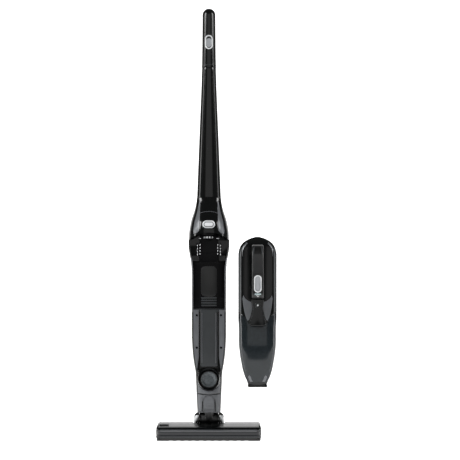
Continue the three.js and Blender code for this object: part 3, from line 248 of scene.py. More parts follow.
@dataclass(frozen=True)
class Profile:
    """A size that changes smoothly with height, through the points given."""

    points: tuple[Point2, ...]

    def at(self, z: float) -> float:
        """The size at height z, by a cubic that never overshoots."""
        pts = self.points
        if z <= pts[0][0]:
            return pts[0][1]
        if z >= pts[-1][0]:
            return pts[-1][1]
        index = max(i for i, p in enumerate(pts[:-1]) if p[0] <= z)
        rises = [(b[1] - a[1]) / (b[0] - a[0]) for a, b in zip(pts, pts[1:])]

        def slope(i: int) -> float:
            if i == 0 or i == len(pts) - 1:
                return rises[0] if i == 0 else rises[-1]
            before, after = rises[i - 1], rises[i]
            return 0.0 if before * after <= 0 else 2 * before * after / (before + after)

        low, high = pts[index], pts[index + 1]
        span = high[0] - low[0]
        t = (z - low[0]) / span
        return (
            (2 * t**3 - 3 * t**2 + 1) * low[1]
            + (t**3 - 2 * t**2 + t) * span * slope(index)
            + (3 * t**2 - 2 * t**3) * high[1]
            + (t**3 - t**2) * span * slope(index + 1)
        )


@dataclass(frozen=True)
class Section:
    """A body's cross-section at every height: a rounded box between a front and a back."""

    half: Profile
    front: Profile
    back: Profile
    square: float = 2.6
    shift: tuple[float, float, float] = (0.0, 0.0, 0.0)

    def ring(self, z: float, grow: float, count: int) -> list[tuple[float, float, float]]:
        """The outline at height z, grown outwards by grow."""
        half = self.half.at(z) + grow
        middle = (self.front.at(z) + self.back.at(z)) / 2
        deep = (self.back.at(z) - self.front.at(z)) / 2 + grow
        ring = []
        for step in range(count):
            turn = 2 * math.pi * step / count
            c, s = math.cos(turn), math.sin(turn)
            x = half * math.copysign(abs(c) ** (2 / self.square), c)
            y = middle + deep * math.copysign(abs(s) ** (2 / self.square), s)
            ring.append((x + self.shift[0], y + self.shift[1], z + self.shift[2]))
        return ring

    def solid(
        self, name: str, low: float, high: float, grow: float = 0.0, pitch: float = 4.0
    ) -> bpy.types.Object:
        """A closed body of this section from low to high."""
        steps = max(2, int((high - low) / pitch))
        heights = [low + (high - low) * i / steps for i in range(steps + 1)]
        return stack(name, [self.ring(z, grow, 96) for z in heights])


def piece_from(name: str, points: list, faces: list) -> bpy.types.Object:
    """A mesh object in metres from points in millimetres, with its faces turned outwards."""
    mesh = bpy.data.meshes.new(name)
    mesh.from_pydata([(x * MM, y * MM, z * MM) for x, y, z in points], [], faces)
    form = bmesh.new()
    form.from_mesh(mesh)
    bmesh.ops.remove_doubles(form, verts=form.verts, dist=0.002 * MM)
    bmesh.ops.recalc_face_normals(form, faces=form.faces)
    form.to_mesh(mesh)
    form.free()
    made = bpy.data.objects.new(name, mesh)
    bpy.context.scene.collection.objects.link(made)
    return made


def stack(name: str, rings: list) -> bpy.types.Object:
    """A closed body through rings of equal counts, capped at both ends."""
    count = len(rings[0])
    faces = [tuple(range(count)), tuple(range((len(rings) - 1) * count, len(rings) * count))]
    for level in range(len(rings) - 1):
        for i in range(count):
            a, b = level * count + i, level * count + (i + 1) % count
            faces.append((a, b, b + count, a + count))
    return piece_from(name, [p for ring in rings for p in ring], faces)


def prism(name: str, outline: list[Point2], axis: str, low: float, high: float) -> bpy.types.Object:
    """An outline drawn square to an axis and drawn out along it."""
    place = {
        "x": lambda u, v, t: (t, u, v),
        "y": lambda u, v, t: (u, t, v),
        "z": lambda u, v, t: (u, v, t),
    }[axis]
    return stack(name, [[place(u, v, t) for u, v in outline] for t in (low, high)])


def round_rect(
    half_wide: float, half_high: float, radius: float, centre: Point2 = (0, 0), steps: int = 8
) -> list:
    """The outline of a rectangle with round corners."""
    outline = []
    for corner, (sx, sy) in enumerate(((1, 1), (-1, 1), (-1, -1), (1, -1))):
        for step in range(steps + 1):
            turn = math.pi / 2 * (corner + step / steps)
            outline.append(
                (
                    centre[0] + sx * (half_wide - radius) + radius * math.cos(turn),
                    centre[1] + sy * (half_high - radius) + radius * math.sin(turn),
                )
            )
    return outline


def slab(
    name: str, size: tuple, centre: Point2, low: float, high: float, steps: int = 8
) -> bpy.types.Object:
    """A round-cornered plate seen from the front.

    Args:
        name: the plate's name.
        size: its half width, half height and corner radius.
        centre: its middle, as (x, z).
        low: its front, along y.
        high: its back, along y.
        steps: how many faces each corner has.

    Returns:
        The plate.
    """
    return prism(name, round_rect(*size, centre, steps), "y", low, high)


def mirrored(outline: list[Point2]) -> list[Point2]:
    """An outline's right half, completed with its left half."""
    return outline + [(-x, z) for x, z in reversed(outline)]


def flipped(outline: list[Point2]) -> list[Point2]:
    """The same outline on the other side of the middle."""
    return [(-x, z) for x, z in reversed(outline)]


def handed(outline: list[Point2], side: int) -> list[Point2]:
    """An outline drawn for the right, turned over for the left when side is negative."""
    return outline if side > 0 else flipped(outline)


def hand_of(side: int) -> str:
    """The name of a side."""
    return "left" if side < 0 else "right"


def middle_of(low: Vector, high: Vector) -> Point2:
    """The middle of a box seen from the front, as (x, z)."""
    return ((low.x + high.x) / 2, (low.z + high.z) / 2)


def lathe(
    name: str, profile: list[Point2], centre: Vector, axis: Vector, steps: int = 72
) -> bpy.types.Object:
    """A closed profile of (radius, distance along the axis), turned about that axis through centre."""
    turn_to = UP.rotation_difference(axis.normalized()).to_matrix()
    points, faces, count = [], [], len(profile)
    for step in range(steps):
        angle = 2 * math.pi * step / steps
        for radius, along in profile:
            local = Vector((max(radius, 0.0) * math.cos(angle), max(radius, 0.0) * math.sin(angle), along))
            points.append(tuple(centre + turn_to @ local))
        after = (step + 1) % steps
        for i in range(count):
            j = (i + 1) % count
            if profile[i][0] <= 0 and profile[j][0] <= 0:
                continue
            faces.append((step * count + i, step * count + j, after * count + j, after * count + i))
    return piece_from(name, points, faces)


def rod(
    radius: float, low: float, high: float, centre: Vector, axis: Vector, steps: int = 72
) -> bpy.types.Object:
    """A cylinder from low to high along an axis through centre, used as a tool."""
    return lathe("tool", [(0, low), (radius, low), (radius, high), (0, high)], centre, axis, steps)


def bake(piece: bpy.types.Object) -> None:
    """Applies a piece's modifiers."""
    graph = bpy.context.evaluated_depsgraph_get()
    mesh = bpy.data.meshes.new_from_object(piece.evaluated_get(graph))
    piece.modifiers.clear()
    piece.data = mesh


def combine(piece: bpy.types.Object, tool: bpy.types.Object, how: str) -> bpy.types.Object:
    """Cuts, joins or trims a piece with a tool that's then removed."""
    for solver in ("MANIFOLD", "EXACT"):
        before = piece.data
        change = piece.modifiers.new("combine", "BOOLEAN")
        change.operation = how
        change.object = tool
        change.solver = solver
        bake(piece)
        if len(piece.data.vertices) > 3:
            break
        piece.data = before
    bpy.data.objects.remove(tool)
    return piece


def cut(piece: bpy.types.Object, tool: bpy.types.Object) -> bpy.types.Object:
    """Takes the tool's room out of a piece."""
    return combine(piece, tool, "DIFFERENCE")


def join(piece: bpy.types.Object, tool: bpy.types.Object) -> bpy.types.Object:
    """Adds the tool to a piece."""
    return combine(piece, tool, "UNION")


def keep(piece: bpy.types.Object, tool: bpy.types.Object) -> bpy.types.Object:
    """Keeps only what's inside the tool."""
    return combine(piece, tool, "INTERSECT")


def block(low: Point2 | tuple, high: tuple) -> bpy.types.Object:
    """A box between two corners, used as a cutting tool."""
    return prism(
        "tool", [(low[0], low[1]), (high[0], low[1]), (high[0], high[1]), (low[0], high[1])], "z", low[2],
        high[2]
    )


def overlay(name: str, section: Section, outline: list[Point2], proud: float = 0.5) -> bpy.types.Object:
    """A thin inlaid plate that follows the front of a section inside an outline drawn from the front.

    Args:
        name: the piece's name.
        section: the body that it lies on.
        outline: its edge, as (x, z).
        proud: how far it stands over that body.

    Returns:
        The plate, closed, and sunk 0.6 mm into the body.
    """
    _, sy, sz = section.shift
    low = min(z for _, z in outline) - sz
    high = max(z for _, z in outline) - sz
    middle = (section.front.at((low + high) / 2) + section.back.at((low + high) / 2)) / 2 + sy
    shell = section.solid(name, low - 3, high + 3, proud, 3.0)
    cut(shell, section.solid("tool", low - 6, high + 6, -0.6, 3.0))
    return keep(shell, prism("tool", outline, "y", -400.0, middle))


def span(name: str) -> tuple[Vector, Vector]:
    """The lowest and highest corners of a CAD node, in millimetres."""
    low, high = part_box(name)
    return low / MM, high / MM


def settle(
    piece: bpy.types.Object, finish: Finish, body: str, nodes: tuple[
        str, ...
    ] = (), edge: float = 0.5, steps: int = 2
) -> bpy.types.Object:
    """Softens a piece's edges, gives it a finish and seats it on its body.

    Args:
        piece: the piece, in place.
        finish: what it's made of.
        body: the body that it moves with.
        nodes: the CAD nodes that it stands for.
        edge: the width of the rounded edges.
        steps: how many faces round each edge has.

    Returns:
        The piece.
    """
    if edge:
        soft = piece.modifiers.new("soft", "BEVEL")
        soft.width = edge * MM
        soft.segments = steps
        soft.limit_method = "ANGLE"
        soft.angle_limit = math.radians(40)
        bake(piece)
    piece.data.shade_smooth()
    piece.data.set_sharp_from_angle(angle=math.radians(42))
    piece.data.materials.clear()
    piece.data.materials.append(finish.material())
    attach(piece, body)
    if nodes:
        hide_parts(*nodes)
    LOG.info("%s: %d faces, %s, on %s", piece.name, len(piece.data.polygons), finish.name, body)
    return piece


# ---------------------------------------------------------------- sections shared by the pieces

STICK_HALF = Profile(
    (
        (64, 30), (87, 30.9), (128, 32.9), (166, 34.6), (190, 38.6), (221, 42.4), (265, 44.5), (419, 44.6),
        (449, 46.4),
        (470, 50), (490, 52.7), (521, 51.8), (552, 46.9), (583, 37), (600, 33), (614, 31.2), (660, 29.3),
        (722, 26.8),
        (783, 24.4), (845, 21.9), (906, 19.6), (968, 17.9), (1030, 17.1), (1100, 16.5),
    )
)  # fmt: skip
STICK_FRONT = Profile(
    ((64, -20), (166, -20), (185, -18), (600, -18), (614, -19), (700, -18), (800, -17), (1100, -16.5))
)
STICK_BACK = Profile(
    ((64, 20), (140, 20), (190, 22), (600, 22), (700, 19.5), (800, 18), (950, 17), (1100, 16.5))
)
TUBE = Section(STICK_HALF, STICK_FRONT, STICK_BACK, 2.4)
NECK = Section(STICK_HALF, STICK_FRONT, STICK_BACK, 2.6)
SPINE = Section(STICK_HALF, STICK_FRONT, STICK_BACK, 4.0)
HOOD = Section(
    STICK_HALF,
    Profile(((500, -55), (531, -56.5), (550, -52), (570, -42), (590, -31), (605, -23), (614.3, -19.5))),
    Profile(((500, 44), (531, 44), (550, 40), (570, 30), (590, 19), (605, 11), (614.3, 7.5))),
    2.5,
)
PORT_TILT = math.radians(20)  # how far the port looks up
UNIT_SHIFT = (122.8, -75.0, 8.0)  # from the dock to where the hand unit stands at rest
UNIT = Section(
    Profile(
        (
            (130, 15), (134, 21.5), (138, 24), (147, 27.2), (156, 31.5), (166, 34.8), (176, 37.6),
            (191, 40.5),
            (205, 43), (220, 45), (240, 46.6), (275, 46.8), (305, 48.3), (463, 48.3), (473, 46.5),
            (480, 44.4),
            (486, 41.4), (492, 36.4), (498, 28.4), (503, 17.5), (506.6, 5),
        )
    ),
    Profile(
        (
            (130, -47), (134, -51), (147, -56), (170, -62), (205, -68), (240, -71.5), (283, -72), (320, -69),
            (470, -69), (484, -66), (496, -58), (503, -49), (506.6, -46),
        )
    ),
    Profile(
        (
            (130, -35), (134, -31), (140, -29), (170, -29), (190, -23), (205, -19.4), (220, -19), (470, -19),
            (484, -20.5), (496, -27), (503, -35), (506.6, -42),
        )
    ),
    3.4,
    UNIT_SHIFT,
)  # fmt: skip


def arc(radius: float, centre: Point2, start: float, end: float, steps: int = 24) -> list[Point2]:
    """Points along an arc, with its angles in degrees."""
    turns = [math.radians(start + (end - start) * i / steps) for i in range(steps + 1)]
    return [(centre[0] + radius * math.cos(t), centre[1] + radius * math.sin(t)) for t in turns]


# ---------------------------------------------------------------- the sub-assemblies


@dataclass
class FloorHead:
    """The powered floor head: glossy cover, charcoal front band, bulging end caps and its running gear."""

    body: str = "floor_head"

    def build(self) -> None:
        """Makes every piece of the head."""
        self.cover()
        self.bumper()
        self.end_caps()
        self.inlay()
        self.wheels()
        self.pivot_caps()

    def cover(self) -> None:
        """The glossy top, crowned over the brush and open behind for the knuckle."""
        low, high = span("head_cover")
        profile = [
            (low.y, low.z + 0.3), (low.y, 27), (low.y + 2, 30.5), (low.y + 7, 32.8), (-70, 34.4), (-52, 35.6),
            (-34, 37.2), (-20, high.z), (high.y - 8, high.z), (high.y - 2.4, high.z - 2.2),
            (high.y, high.z - 7),
            (high.y, low.z + 0.3),
        ]  # fmt: skip
        top = prism("cover", profile, "x", low.x, high.x)
        cut(top, prism("tool", round_rect(41, 30, 9, (0, 14)), "z", 0, 60))
        cut(
            top,
            prism("tool", [(y, z - 2.5) for y, z in profile[1:-1]] + [(28, 10), (-86, 10)], "x", -124, 124)
        )
        # The head's top takes the painted-shade black.
        settle(top, HEAD_SHADED_BLACK, self.body, ("head_cover",), 1.6, 4)
        bead = prism("cover_bead", round_rect(high.x - 4, 0.7, 0.5, (0, -88.1)), "z", 27.9, 29.1)
        settle(bead, DARK, self.body, (), 0.3)

    def plan(self, inset: float) -> list[Point2]:
        """The head's outline from above, drawn inwards by inset."""
        low, high = span("front_bumper")
        rear = span("end_cap_left")[1].y
        middle = (low.y + rear) / 2
        return round_rect(high.x - inset, (rear - low.y) / 2 - inset, 12, (0, middle), 14)

    def bumper(self) -> None:
        """The front band: an upper lip, a dark hollow and a thin lower lip, each lip with a painted highlight
        strip.
        """
        low, high = span("front_bumper")
        levels = (
            (0.0, 1.2), (0.9, 0.3), (2.2, 0.0), (4.6, 0.0), (5.4, 0.7), (6.3, 2.2), (11.4, 2.6), (13.4, 1.7),
            (14.4, 0.5), (15.6, 0.0), (18.2, 0.0), (19.4, 0.5), (20.0, 1.6),
        )  # fmt: skip
        rings = [[(x, y, low.z + z) for x, y in self.plan(inset)] for z, inset in levels]
        band = stack("front_band", rings)
        inner = span("head_cover")
        cut(band, block((inner[0].x - 0.3, inner[0].y - 0.3, 0), (inner[1].x + 0.3, 80, 60)))
        keep(band, block((low.x - 5, low.y - 5, 0), (high.x + 5, high.y, 60)))
        settle(band, CHARCOAL, self.body, ("front_bumper",), 0)
        # Painted highlights: a grey strip on the upper lip and a dark grey one on the lower lip, where the
        # light catches them.
        for name, height, finish in (("upper", 25.4, GREY), ("lower", 11.2, DARK)):
            trim = prism(
                f"band_lip_highlight_{name}", round_rect(high.x - 11, 0.8, 0.7, (0, low.y + 0.2)), "z",
                height - 1.1, height + 1.1
            )
            settle(trim, finish, self.body, (), 0.5)

    def end_caps(self) -> None:
        """The bulging side caps, one on each end of the head."""
        for side, name in ((-1, "left"), (1, "right")):
            node_name = "end_cap_left" if (span("end_cap_left")[0].x < 0) == (side < 0) else "end_cap_right"
            low, high = span(node_name)
            levels = (
                (0, 1.8), (1, 0.7), (3, 0.1), (8, 0.0), (24, 0.0), (28, 0.7), (31, 2.0), (32.6, 3.6),
                (33.3, 5.2)
            )
            cap = stack(
                f"head_end_{name}",
                [[(x, y, low.z + z) for x, y in self.plan(inset)] for z, inset in levels]
            )
            edge = low.x if side > 0 else high.x
            far = side * 200
            keep(cap, block((min(edge, far), low.y, 0), (max(edge, far), high.y + 5, 60)))
            for height in (12.0, 15.0, 18.0):
                cut(
                    cap,
                    block(
                        (min(side * 132.2, side * 140), -40, height),
                        (max(side * 132.2, side * 140), 5, height + 0.9)
                    )
                )
            settle(cap, SATIN, self.body, (node_name,), 0.3)

    def inlay(self) -> None:
        """The textured pad let into the cover's left end."""
        low, high = span("cover_inlay")
        pad = prism(
            "inlay",
            round_rect(
                (high.x - low.x) / 2, (high.y - low.y) / 2, 3, ((low.x + high.x) / 2, (low.y + high.y) / 2)
            ),
            "z", low.z, high.z + 0.3
        )
        settle(pad, KNURLED, self.body, ("cover_inlay",), 0.5)

    def wheels(self) -> None:
        """The two rear wheels, with a grooved tyre and a dished hub."""
        for name in ("left_wheel", "right_wheel"):
            nodes = frame["record"]["behaviour"]["bodies"][name]
            low, high = span(nodes[0])
            radius = (high.z - low.z) / 2
            wide = high.x - low.x
            half = wide / 2
            profile = [
                (0, -half + 1.6), (radius * 0.45, -half + 1.6), (radius * 0.55, -half + 0.2),
                (radius - 1, -half + 0.2), (radius, -half + 1.4)
            ]
            for groove in (-2.2, 0.0, 2.2):
                profile += [
                    (radius, groove - 0.7), (radius - 0.8, groove - 0.4), (radius - 0.8, groove + 0.4),
                    (radius, groove + 0.7)
                ]
            profile += [
                (radius, half - 1.4), (radius - 1, half - 0.2), (radius * 0.55, half - 0.2),
                (radius * 0.45, half - 1.6), (0, half - 1.6)
            ]
            centre = (low + high) / 2
            settle(lathe(f"{name}_tyre", profile, centre, ACROSS, 48), RUBBER, name, tuple(nodes), 0)

    def pivot_caps(self) -> None:
        """The silver pivot covers, each with a black boss."""
        for name in ("pivot_cap_left", "pivot_cap_right"):
            low, high = span(name)
            side = 1 if low.x > 0 else -1
            radius = (high.z - low.z) / 2
            centre = Vector(((low.x if side > 0 else high.x), (low.y + high.y) / 2, (low.z + high.z) / 2))
            long = high.x - low.x
            profile = [
                (0, 0.1), (3.8, 0.1), (3.8, 8.2), (radius, 8.3), (radius, long - 5),
                (radius - 1.2, long - 2.2), (radius - 3.6, long - 0.6), (radius - 5, long), (0, long)
            ]
            dome = lathe(f"{name}_dome", profile, centre, Vector((side, 0, 0)), 64)
            settle(dome, SILVER, self.body, (name,), 0)
            chevron = [
                (25.0, 57.6), (31, 56.4), (38.6, 46), (38.8, 37), (34.8, 35.4), (33.6, 41), (28.6, 50.4),
                (25.0, 52.6)
            ]
            plate = prism(f"{name}_chevron", handed(chevron, side), "y", low.y - 1.6, low.y + 2.4)
            settle(plate, SILVER, self.body, (), 0.9, 3)
            hood = [(24.9, 62.6), (31, 62.8), (36.6, 57.6), (38.4, 52), (36, 49), (30, 56.6), (24.9, 40)]
            shroud = prism(f"{name}_shroud", handed(hood, side), "y", 3.2, 12.8)
            settle(shroud, GLOSS, self.body, (), 0.8, 3)
            skirt = [(24.9, 58), (31.4, 41.5), (33.2, 37.4), (24.9, 37.4)]
            fill = prism(f"{name}_skirt", handed(skirt, side), "y", low.y - 1.2, low.y + 3)
            settle(fill, GLOSS, self.body, (), 0.6)
            inner, outer = sorted((side * 22.8, side * 26.6))
            lip = block((inner, -13.2, 38), (outer, -10.8, 60))
            lip.name = f"{name}_lip"
            inner, outer = sorted((side * 24.9, side * 26.6))
            join(lip, block((inner, -13.2, 38), (outer, low.y, 60)))
            settle(lip, GLOSS, self.body, (), 0.5)


@dataclass
class Neck:
    """The knuckle and the neck up to the suction port."""

    body: str = "stick"

    def build(self) -> None:
        """Makes the knuckle, both neck mouldings and the port."""
        self.knuckle()
        self.lower()
        self.upper()
        self.port()

    def knuckle(self) -> None:
        """The barrel that rocks in the head, with its upright spigot."""
        low, high = span("knuckle_shell")
        half = high.x
        rim = 18.0
        centre = Vector((0, high.y - rim, low.z + rim))
        profile = [
            (13.5, -half + 0.6), (rim - 2.4, -half + 0.2), (rim - 0.6, -half + 1.4), (rim, -half + 3.2),
            (rim, half - 3.2), (rim - 0.6, half - 1.4), (rim - 2.4, half - 0.2), (13.5, half - 0.6)
        ]
        barrel = lathe("knuckle_barrel", profile, centre, ACROSS, 72)
        barrel_core = rod(14.5, -20, 20, centre, ACROSS, 48)
        join(barrel, barrel_core)
        spigot = rod(13.2, 0, high.z - low.z - 18, Vector((0, 0, low.z + 18)), UP, 64)
        join(barrel, spigot)
        cut(barrel, rod(10.5, -30, 60, Vector((0, 0, low.z + 30)), UP, 48))
        settle(barrel, SATIN, "knuckle", ("knuckle_shell",), 0.6)

    def lower(self) -> None:
        """The lower neck, its release tab and the dark arch under it."""
        low, high = span("neck_lower")
        shell = NECK.solid("lower_neck", low.z, high.z)
        cut(shell, rod(14, 0, 40, Vector((0, 0, low.z - 2)), UP))
        cut(
            shell,
            prism(
                "tool",
                mirrored([(0, 60), (19.5, 60), (18.6, 78), (17, 92), (14, 101), (8.6, 108), (0, 110.6)]),
                "y", -40, -17.5
            )
        )
        arch = mirrored([(0, 73.4), (8, 72.8), (16, 71), (24, 67), (28.5, 60), (0, 60)])
        cut(shell, prism("tool", arch, "y", -40, -14))
        settle(shell, GREY, self.body, ("neck_lower",), 0.7, 3)
        tab_low, tab_high = span("head_release_tab")
        tab = NECK.solid("release_tab", tab_low.z, tab_high.z, 0.8)
        keep(
            tab,
            prism(
                "tool",
                mirrored(
                    [
                        (0, tab_low.z), (13.8, tab_low.z + 0.8), (14.2, 92), (12.4, 99), (8.2, 105),
                        (0, tab_high.z - 0.6)
                    ]
                ),
                "y", -40, -16.8
            )
        )
        for height in (80.0, 84.0, 88.0):
            cut(tab, slab("tool", (8, 0.7, 0.6), (0, height), -30, -20.2))
        settle(tab, GREY, "head_tab", ("head_release_tab",), 0.6)
        for side in (-1, 1):
            edge = [(28.2, 68), (29.9, 68), (31.4, 110), (30, 111)]
            groove = [(14.8, 66), (18.4, 66), (17.2, 90), (15.2, 100), (14.9, 92)]
            dark = overlay(f"tab_groove_{hand_of(side)}", NECK, handed(groove, side), 0.35)
            settle(dark, GLOSS, self.body, (), 0)
            strip = overlay(f"lower_edge_{hand_of(side)}", NECK, handed(edge, side), 0.3)
            settle(strip, GLOSS, self.body, (), 0)

    def upper(self) -> None:
        """The upper neck: black sides, a grey face and a scooped black line round the port."""
        low, high = span("neck_upper")
        shell = NECK.solid("upper_neck", low.z, high.z - 0.2)
        cut(shell, self.port_tool(30.0))
        cut(shell, rod(10, 0, 90, Vector((0, 0, low.z - 5)), UP, 32))
        settle(shell, GLOSS, self.body, ("neck_upper",), 0.6, 2)
        face = mirrored(
            [
                (0, low.z + 0.6), (27.5, low.z + 2.2), (29.4, 138), (29.6, 141), (28, 139), (20, 126),
                (8, 119.5), (0, 118.6)
            ]
        )
        plate = overlay("neck_face", NECK, face, 0.7)
        settle(plate, GREY, self.body, (), 0.4)
        seam = [
            (-31, 113.2), (-16, 111.2), (0, 110.5), (16, 111.2), (31, 113.2), (31, 112.0), (16, 110.0),
            (0, 109.3)
        ]
        seam += [(-16, 110.0), (-31, 112.0)]
        settle(overlay("neck_seam", NECK, seam, 0.75), GLOSS, self.body, (), 0)
        outer = [(0, 122.6), (9, 123.6), (19, 128.6), (27, 138.5), (31, 151), (33.6, 165.4)]
        inner = [(30.4, 165.4), (28.6, 153), (25, 141), (18, 131.6), (9, 126.6), (0, 125.6)]
        scoop = outer + inner + [
            (-x, z) for x, z in reversed(inner[:-1])
        ] + [(-x, z) for x, z in reversed(outer[1:])]
        settle(overlay("scoop_line", NECK, scoop, 0.9), GLOSS, self.body, (), 0.2)

    def port_axis(self) -> tuple[Vector, Vector]:
        """The port's centre, from the collar, and the way it looks, tilted up by PORT_TILT."""
        low, high = span("port_collar")
        centre = Vector((0, (low.y + high.y) / 2, (low.z + high.z) / 2))
        return centre, Vector((0, -math.cos(PORT_TILT), math.sin(PORT_TILT)))

    def port_tool(self, radius: float) -> bpy.types.Object:
        """A cylinder on the port's axis, used to clear its pocket."""
        centre, axis = self.port_axis()
        return rod(radius, -4, 40, centre, axis)

    def port(self) -> None:
        """The black bowl with the mottled grey collar in it; the grey of the collar and the film is painted
        light of the lit bore.
        """
        centre, axis = self.port_axis()
        bowl = lathe(
            "port_bowl",
            [
                (22.4, -6.5), (29.2, -6.5), (29.3, 4), (28.9, 8.2), (27.9, 9.6), (26.6, 9.2), (25.2, 5),
                (23, 1.4), (22.4, -2)
            ],
            centre, axis, 96,
        )  # fmt: skip
        settle(bowl, GLOSS, self.body, ("bowl_ring",), 0)
        collar = lathe(
            "suction_collar",
            [
                (12.2, -7), (20.9, -7), (20.9, 1.2), (20.2, 2.2), (18.8, 2.5), (17.6, 1.4), (16.6, -0.6),
                (14.4, -1.6), (13, -2.6), (12.2, -4)
            ],
            centre, axis, 96,
        )  # fmt: skip
        settle(collar, PORT_FILM_PAINTED_LIGHT, self.body, ("port_collar",), 0)
        film = lathe(
            "port_film", [(0, -4.4), (12.6, -4.4), (12.6, -2.9), (7, -2.4), (0, -2.1)], centre, axis, 96
        )
        settle(film, PORT_FILM_PAINTED_LIGHT, self.body, (), 0)
        seal = lathe(
            "collar_seal", [(20.2, 1.0), (22.2, 1.0), (22.2, 2.6), (21.2, 3.2), (20.2, 2.8)], centre, axis,
            96
        )
        settle(seal, RUBBER, self.body, (), 0)


@dataclass
class Dock:
    """The long cradle behind the hand unit, with its rails, liner, cover and panels."""

    body: str = "stick"
    louvre_count: int = 4
    louvre_pitch: float = 6.4
    louvre_half: float = 20.0
    screw_across: float = 31.0
    screw_heights: tuple[float, ...] = (230.0, 313.0)
    screw_hole: float = 3.1
    panel_inner: float = 26.0

    def build(self) -> None:
        """Makes the spine and everything set in its recess."""
        self.spine()
        self.rails()
        self.liner()
        self.cable_cover()
        self.panels()

    def recess(self, inset: float, low: float, high: float) -> list[Point2]:
        """The recess outline, drawn in from the stick's sides by inset."""
        steps = 40
        heights = [low + (high - low) * i / steps for i in range(steps + 1)]
        return mirrored([(STICK_HALF.at(z) - inset, z) for z in heights])

    def spine(self) -> None:
        """The black spine, hollowed at the front for the hand unit."""
        low, high = span("frame_spine")
        body = SPINE.solid("spine", low.z, high.z)
        cut(body, prism("tool", self.recess(4.0, 172, 503), "y", -60, -6))
        cut(body, block((-80, -60, 500), (80, -6, 640)))
        cut(body, Neck().port_tool(30.0))
        settle(body, GLOSS, self.body, ("frame_spine",), 0.7, 2)

    def rails(self) -> None:
        """The grey faces of the two side rails."""
        for side in (-1, 1):
            heights = [322 + 138 * i / 20 for i in range(21)]
            edge = [(STICK_HALF.at(z) - 4.0, z) for z in heights] + [
                (STICK_HALF.at(z) - 1.4, z) for z in reversed(heights)
            ]
            rail = overlay(f"rail_face_{hand_of(side)}", SPINE, handed(edge, side), 0.3)
            settle(rail, GREY, self.body, (), 0)

    def liner(self) -> None:
        """The recess panel, with its bank of louvres, and a lighter plate of painted light in its middle."""
        low, high = span("dock_liner")
        panel = prism("recess_panel", self.recess(4.4, low.z, high.z), "y", low.y, high.y)
        for step in range(self.louvre_count):
            height = low.z + 4.2 + step * self.louvre_pitch
            cut(panel, slab("tool", (self.louvre_half, 1.3, 1.2), (0, height), low.y - 2, high.y - 0.6))
        # The recess panel takes the painted-shade black.
        settle(panel, SHADED_BLACK, self.body, ("dock_liner",), 0.4)
        for step in range(self.louvre_count):
            height = low.z + 7.4 + step * self.louvre_pitch
            size = (self.louvre_half, 2.0, 0.7)
            blade = slab(f"louvre_{step + 1}", size, (0, height), low.y - 1.2, low.y + 1)
            settle(blade, DARK, self.body, (), 0.5)
        sill = prism("recess_sill", self.recess(6.0, low.z - 9, low.z - 1), "y", low.y - 2.0, low.y)
        settle(sill, DARK, self.body, (), 0.6)
        # Painted light: a satin plate, lighter than the painted-shade black round it, where the light reaches
        # into the recess's middle.
        glow = slab("recess_lit_plate", (20.5, 39, 12), (0, low.z + 69), low.y - 0.7, low.y + 1)
        settle(glow, SATIN, self.body, (), 0.5)
        upper = prism("recess_panel_upper", self.recess(4.4, high.z + 0.4, 472), "y", low.y, high.y)
        # The upper panel takes the painted-shade black too.
        settle(upper, SHADED_BLACK, self.body, (), 0.4)

    def cable_cover(self) -> None:
        """The raised centre cover, with rounded shoulders."""
        low, high = span("cable_cover")
        half = high.x
        middle = (low.z + high.z) / 2
        cover = slab("centre_cover", (half, (high.z - low.z) / 2, 4), (0, middle), low.y, high.y)
        settle(cover, DARK, self.body, ("cable_cover",), 2.2, 5)
        for side in (-1, 1):
            ridge = slab(
                f"cover_ridge_{hand_of(side)}", (0.7, (high.z - low.z) / 2 - 9, 0.6),
                (side * (half - 4.2), middle), low.y - 0.7, low.y + 1
            )
            settle(ridge, GREY, self.body, (), 0.3)

    def panels(self) -> None:
        """The two grey side panels that taper to a point, with their screws."""
        for name in ("side_panel_left", "side_panel_right"):
            low, high = span(name)
            side = 1 if low.x > 0 else -1
            inner = self.panel_inner
            heights = [172 + (high.z - 172) * i / 24 for i in range(25)]
            outline = [(STICK_HALF.at(z) - 4.6, z) for z in heights]
            outline += [(inner, high.z), (inner, 205), (inner + 2.4, 190), (STICK_HALF.at(176) - 5.6, 172)]
            panel = prism(f"{name}_moulding", handed(outline, side), "y", low.y, high.y)
            for height in self.screw_heights:
                hole = Vector((side * self.screw_across, -4.5, height))
                cut(panel, rod(self.screw_hole, 0, 9, hole, FORWARD, 32))
            settle(panel, GREY, self.body, (name,), 0.9, 3)
        for side in ("left", "right"):
            for number in (1, 2):
                name = f"panel_screw_{side}_{number}"
                low, high = span(name)
                centre = Vector(((low.x + high.x) / 2, high.y, (low.z + high.z) / 2))
                screw = lathe(
                    f"{name}_head", [(0, 0), (2.85, 0), (2.85, 1.1), (2.2, 1.75), (0, 1.8)], centre,
                    FORWARD, 32
                )
                for wide, tall in ((1.6, 0.35), (0.35, 1.6)):
                    cut(
                        screw,
                        slab("tool", (wide, tall, 0.1), (centre.x, centre.z), low.y - 1, high.y - 0.9, 2)
                    )
                settle(screw, BLACK_STEEL, self.body, (name,), 0)


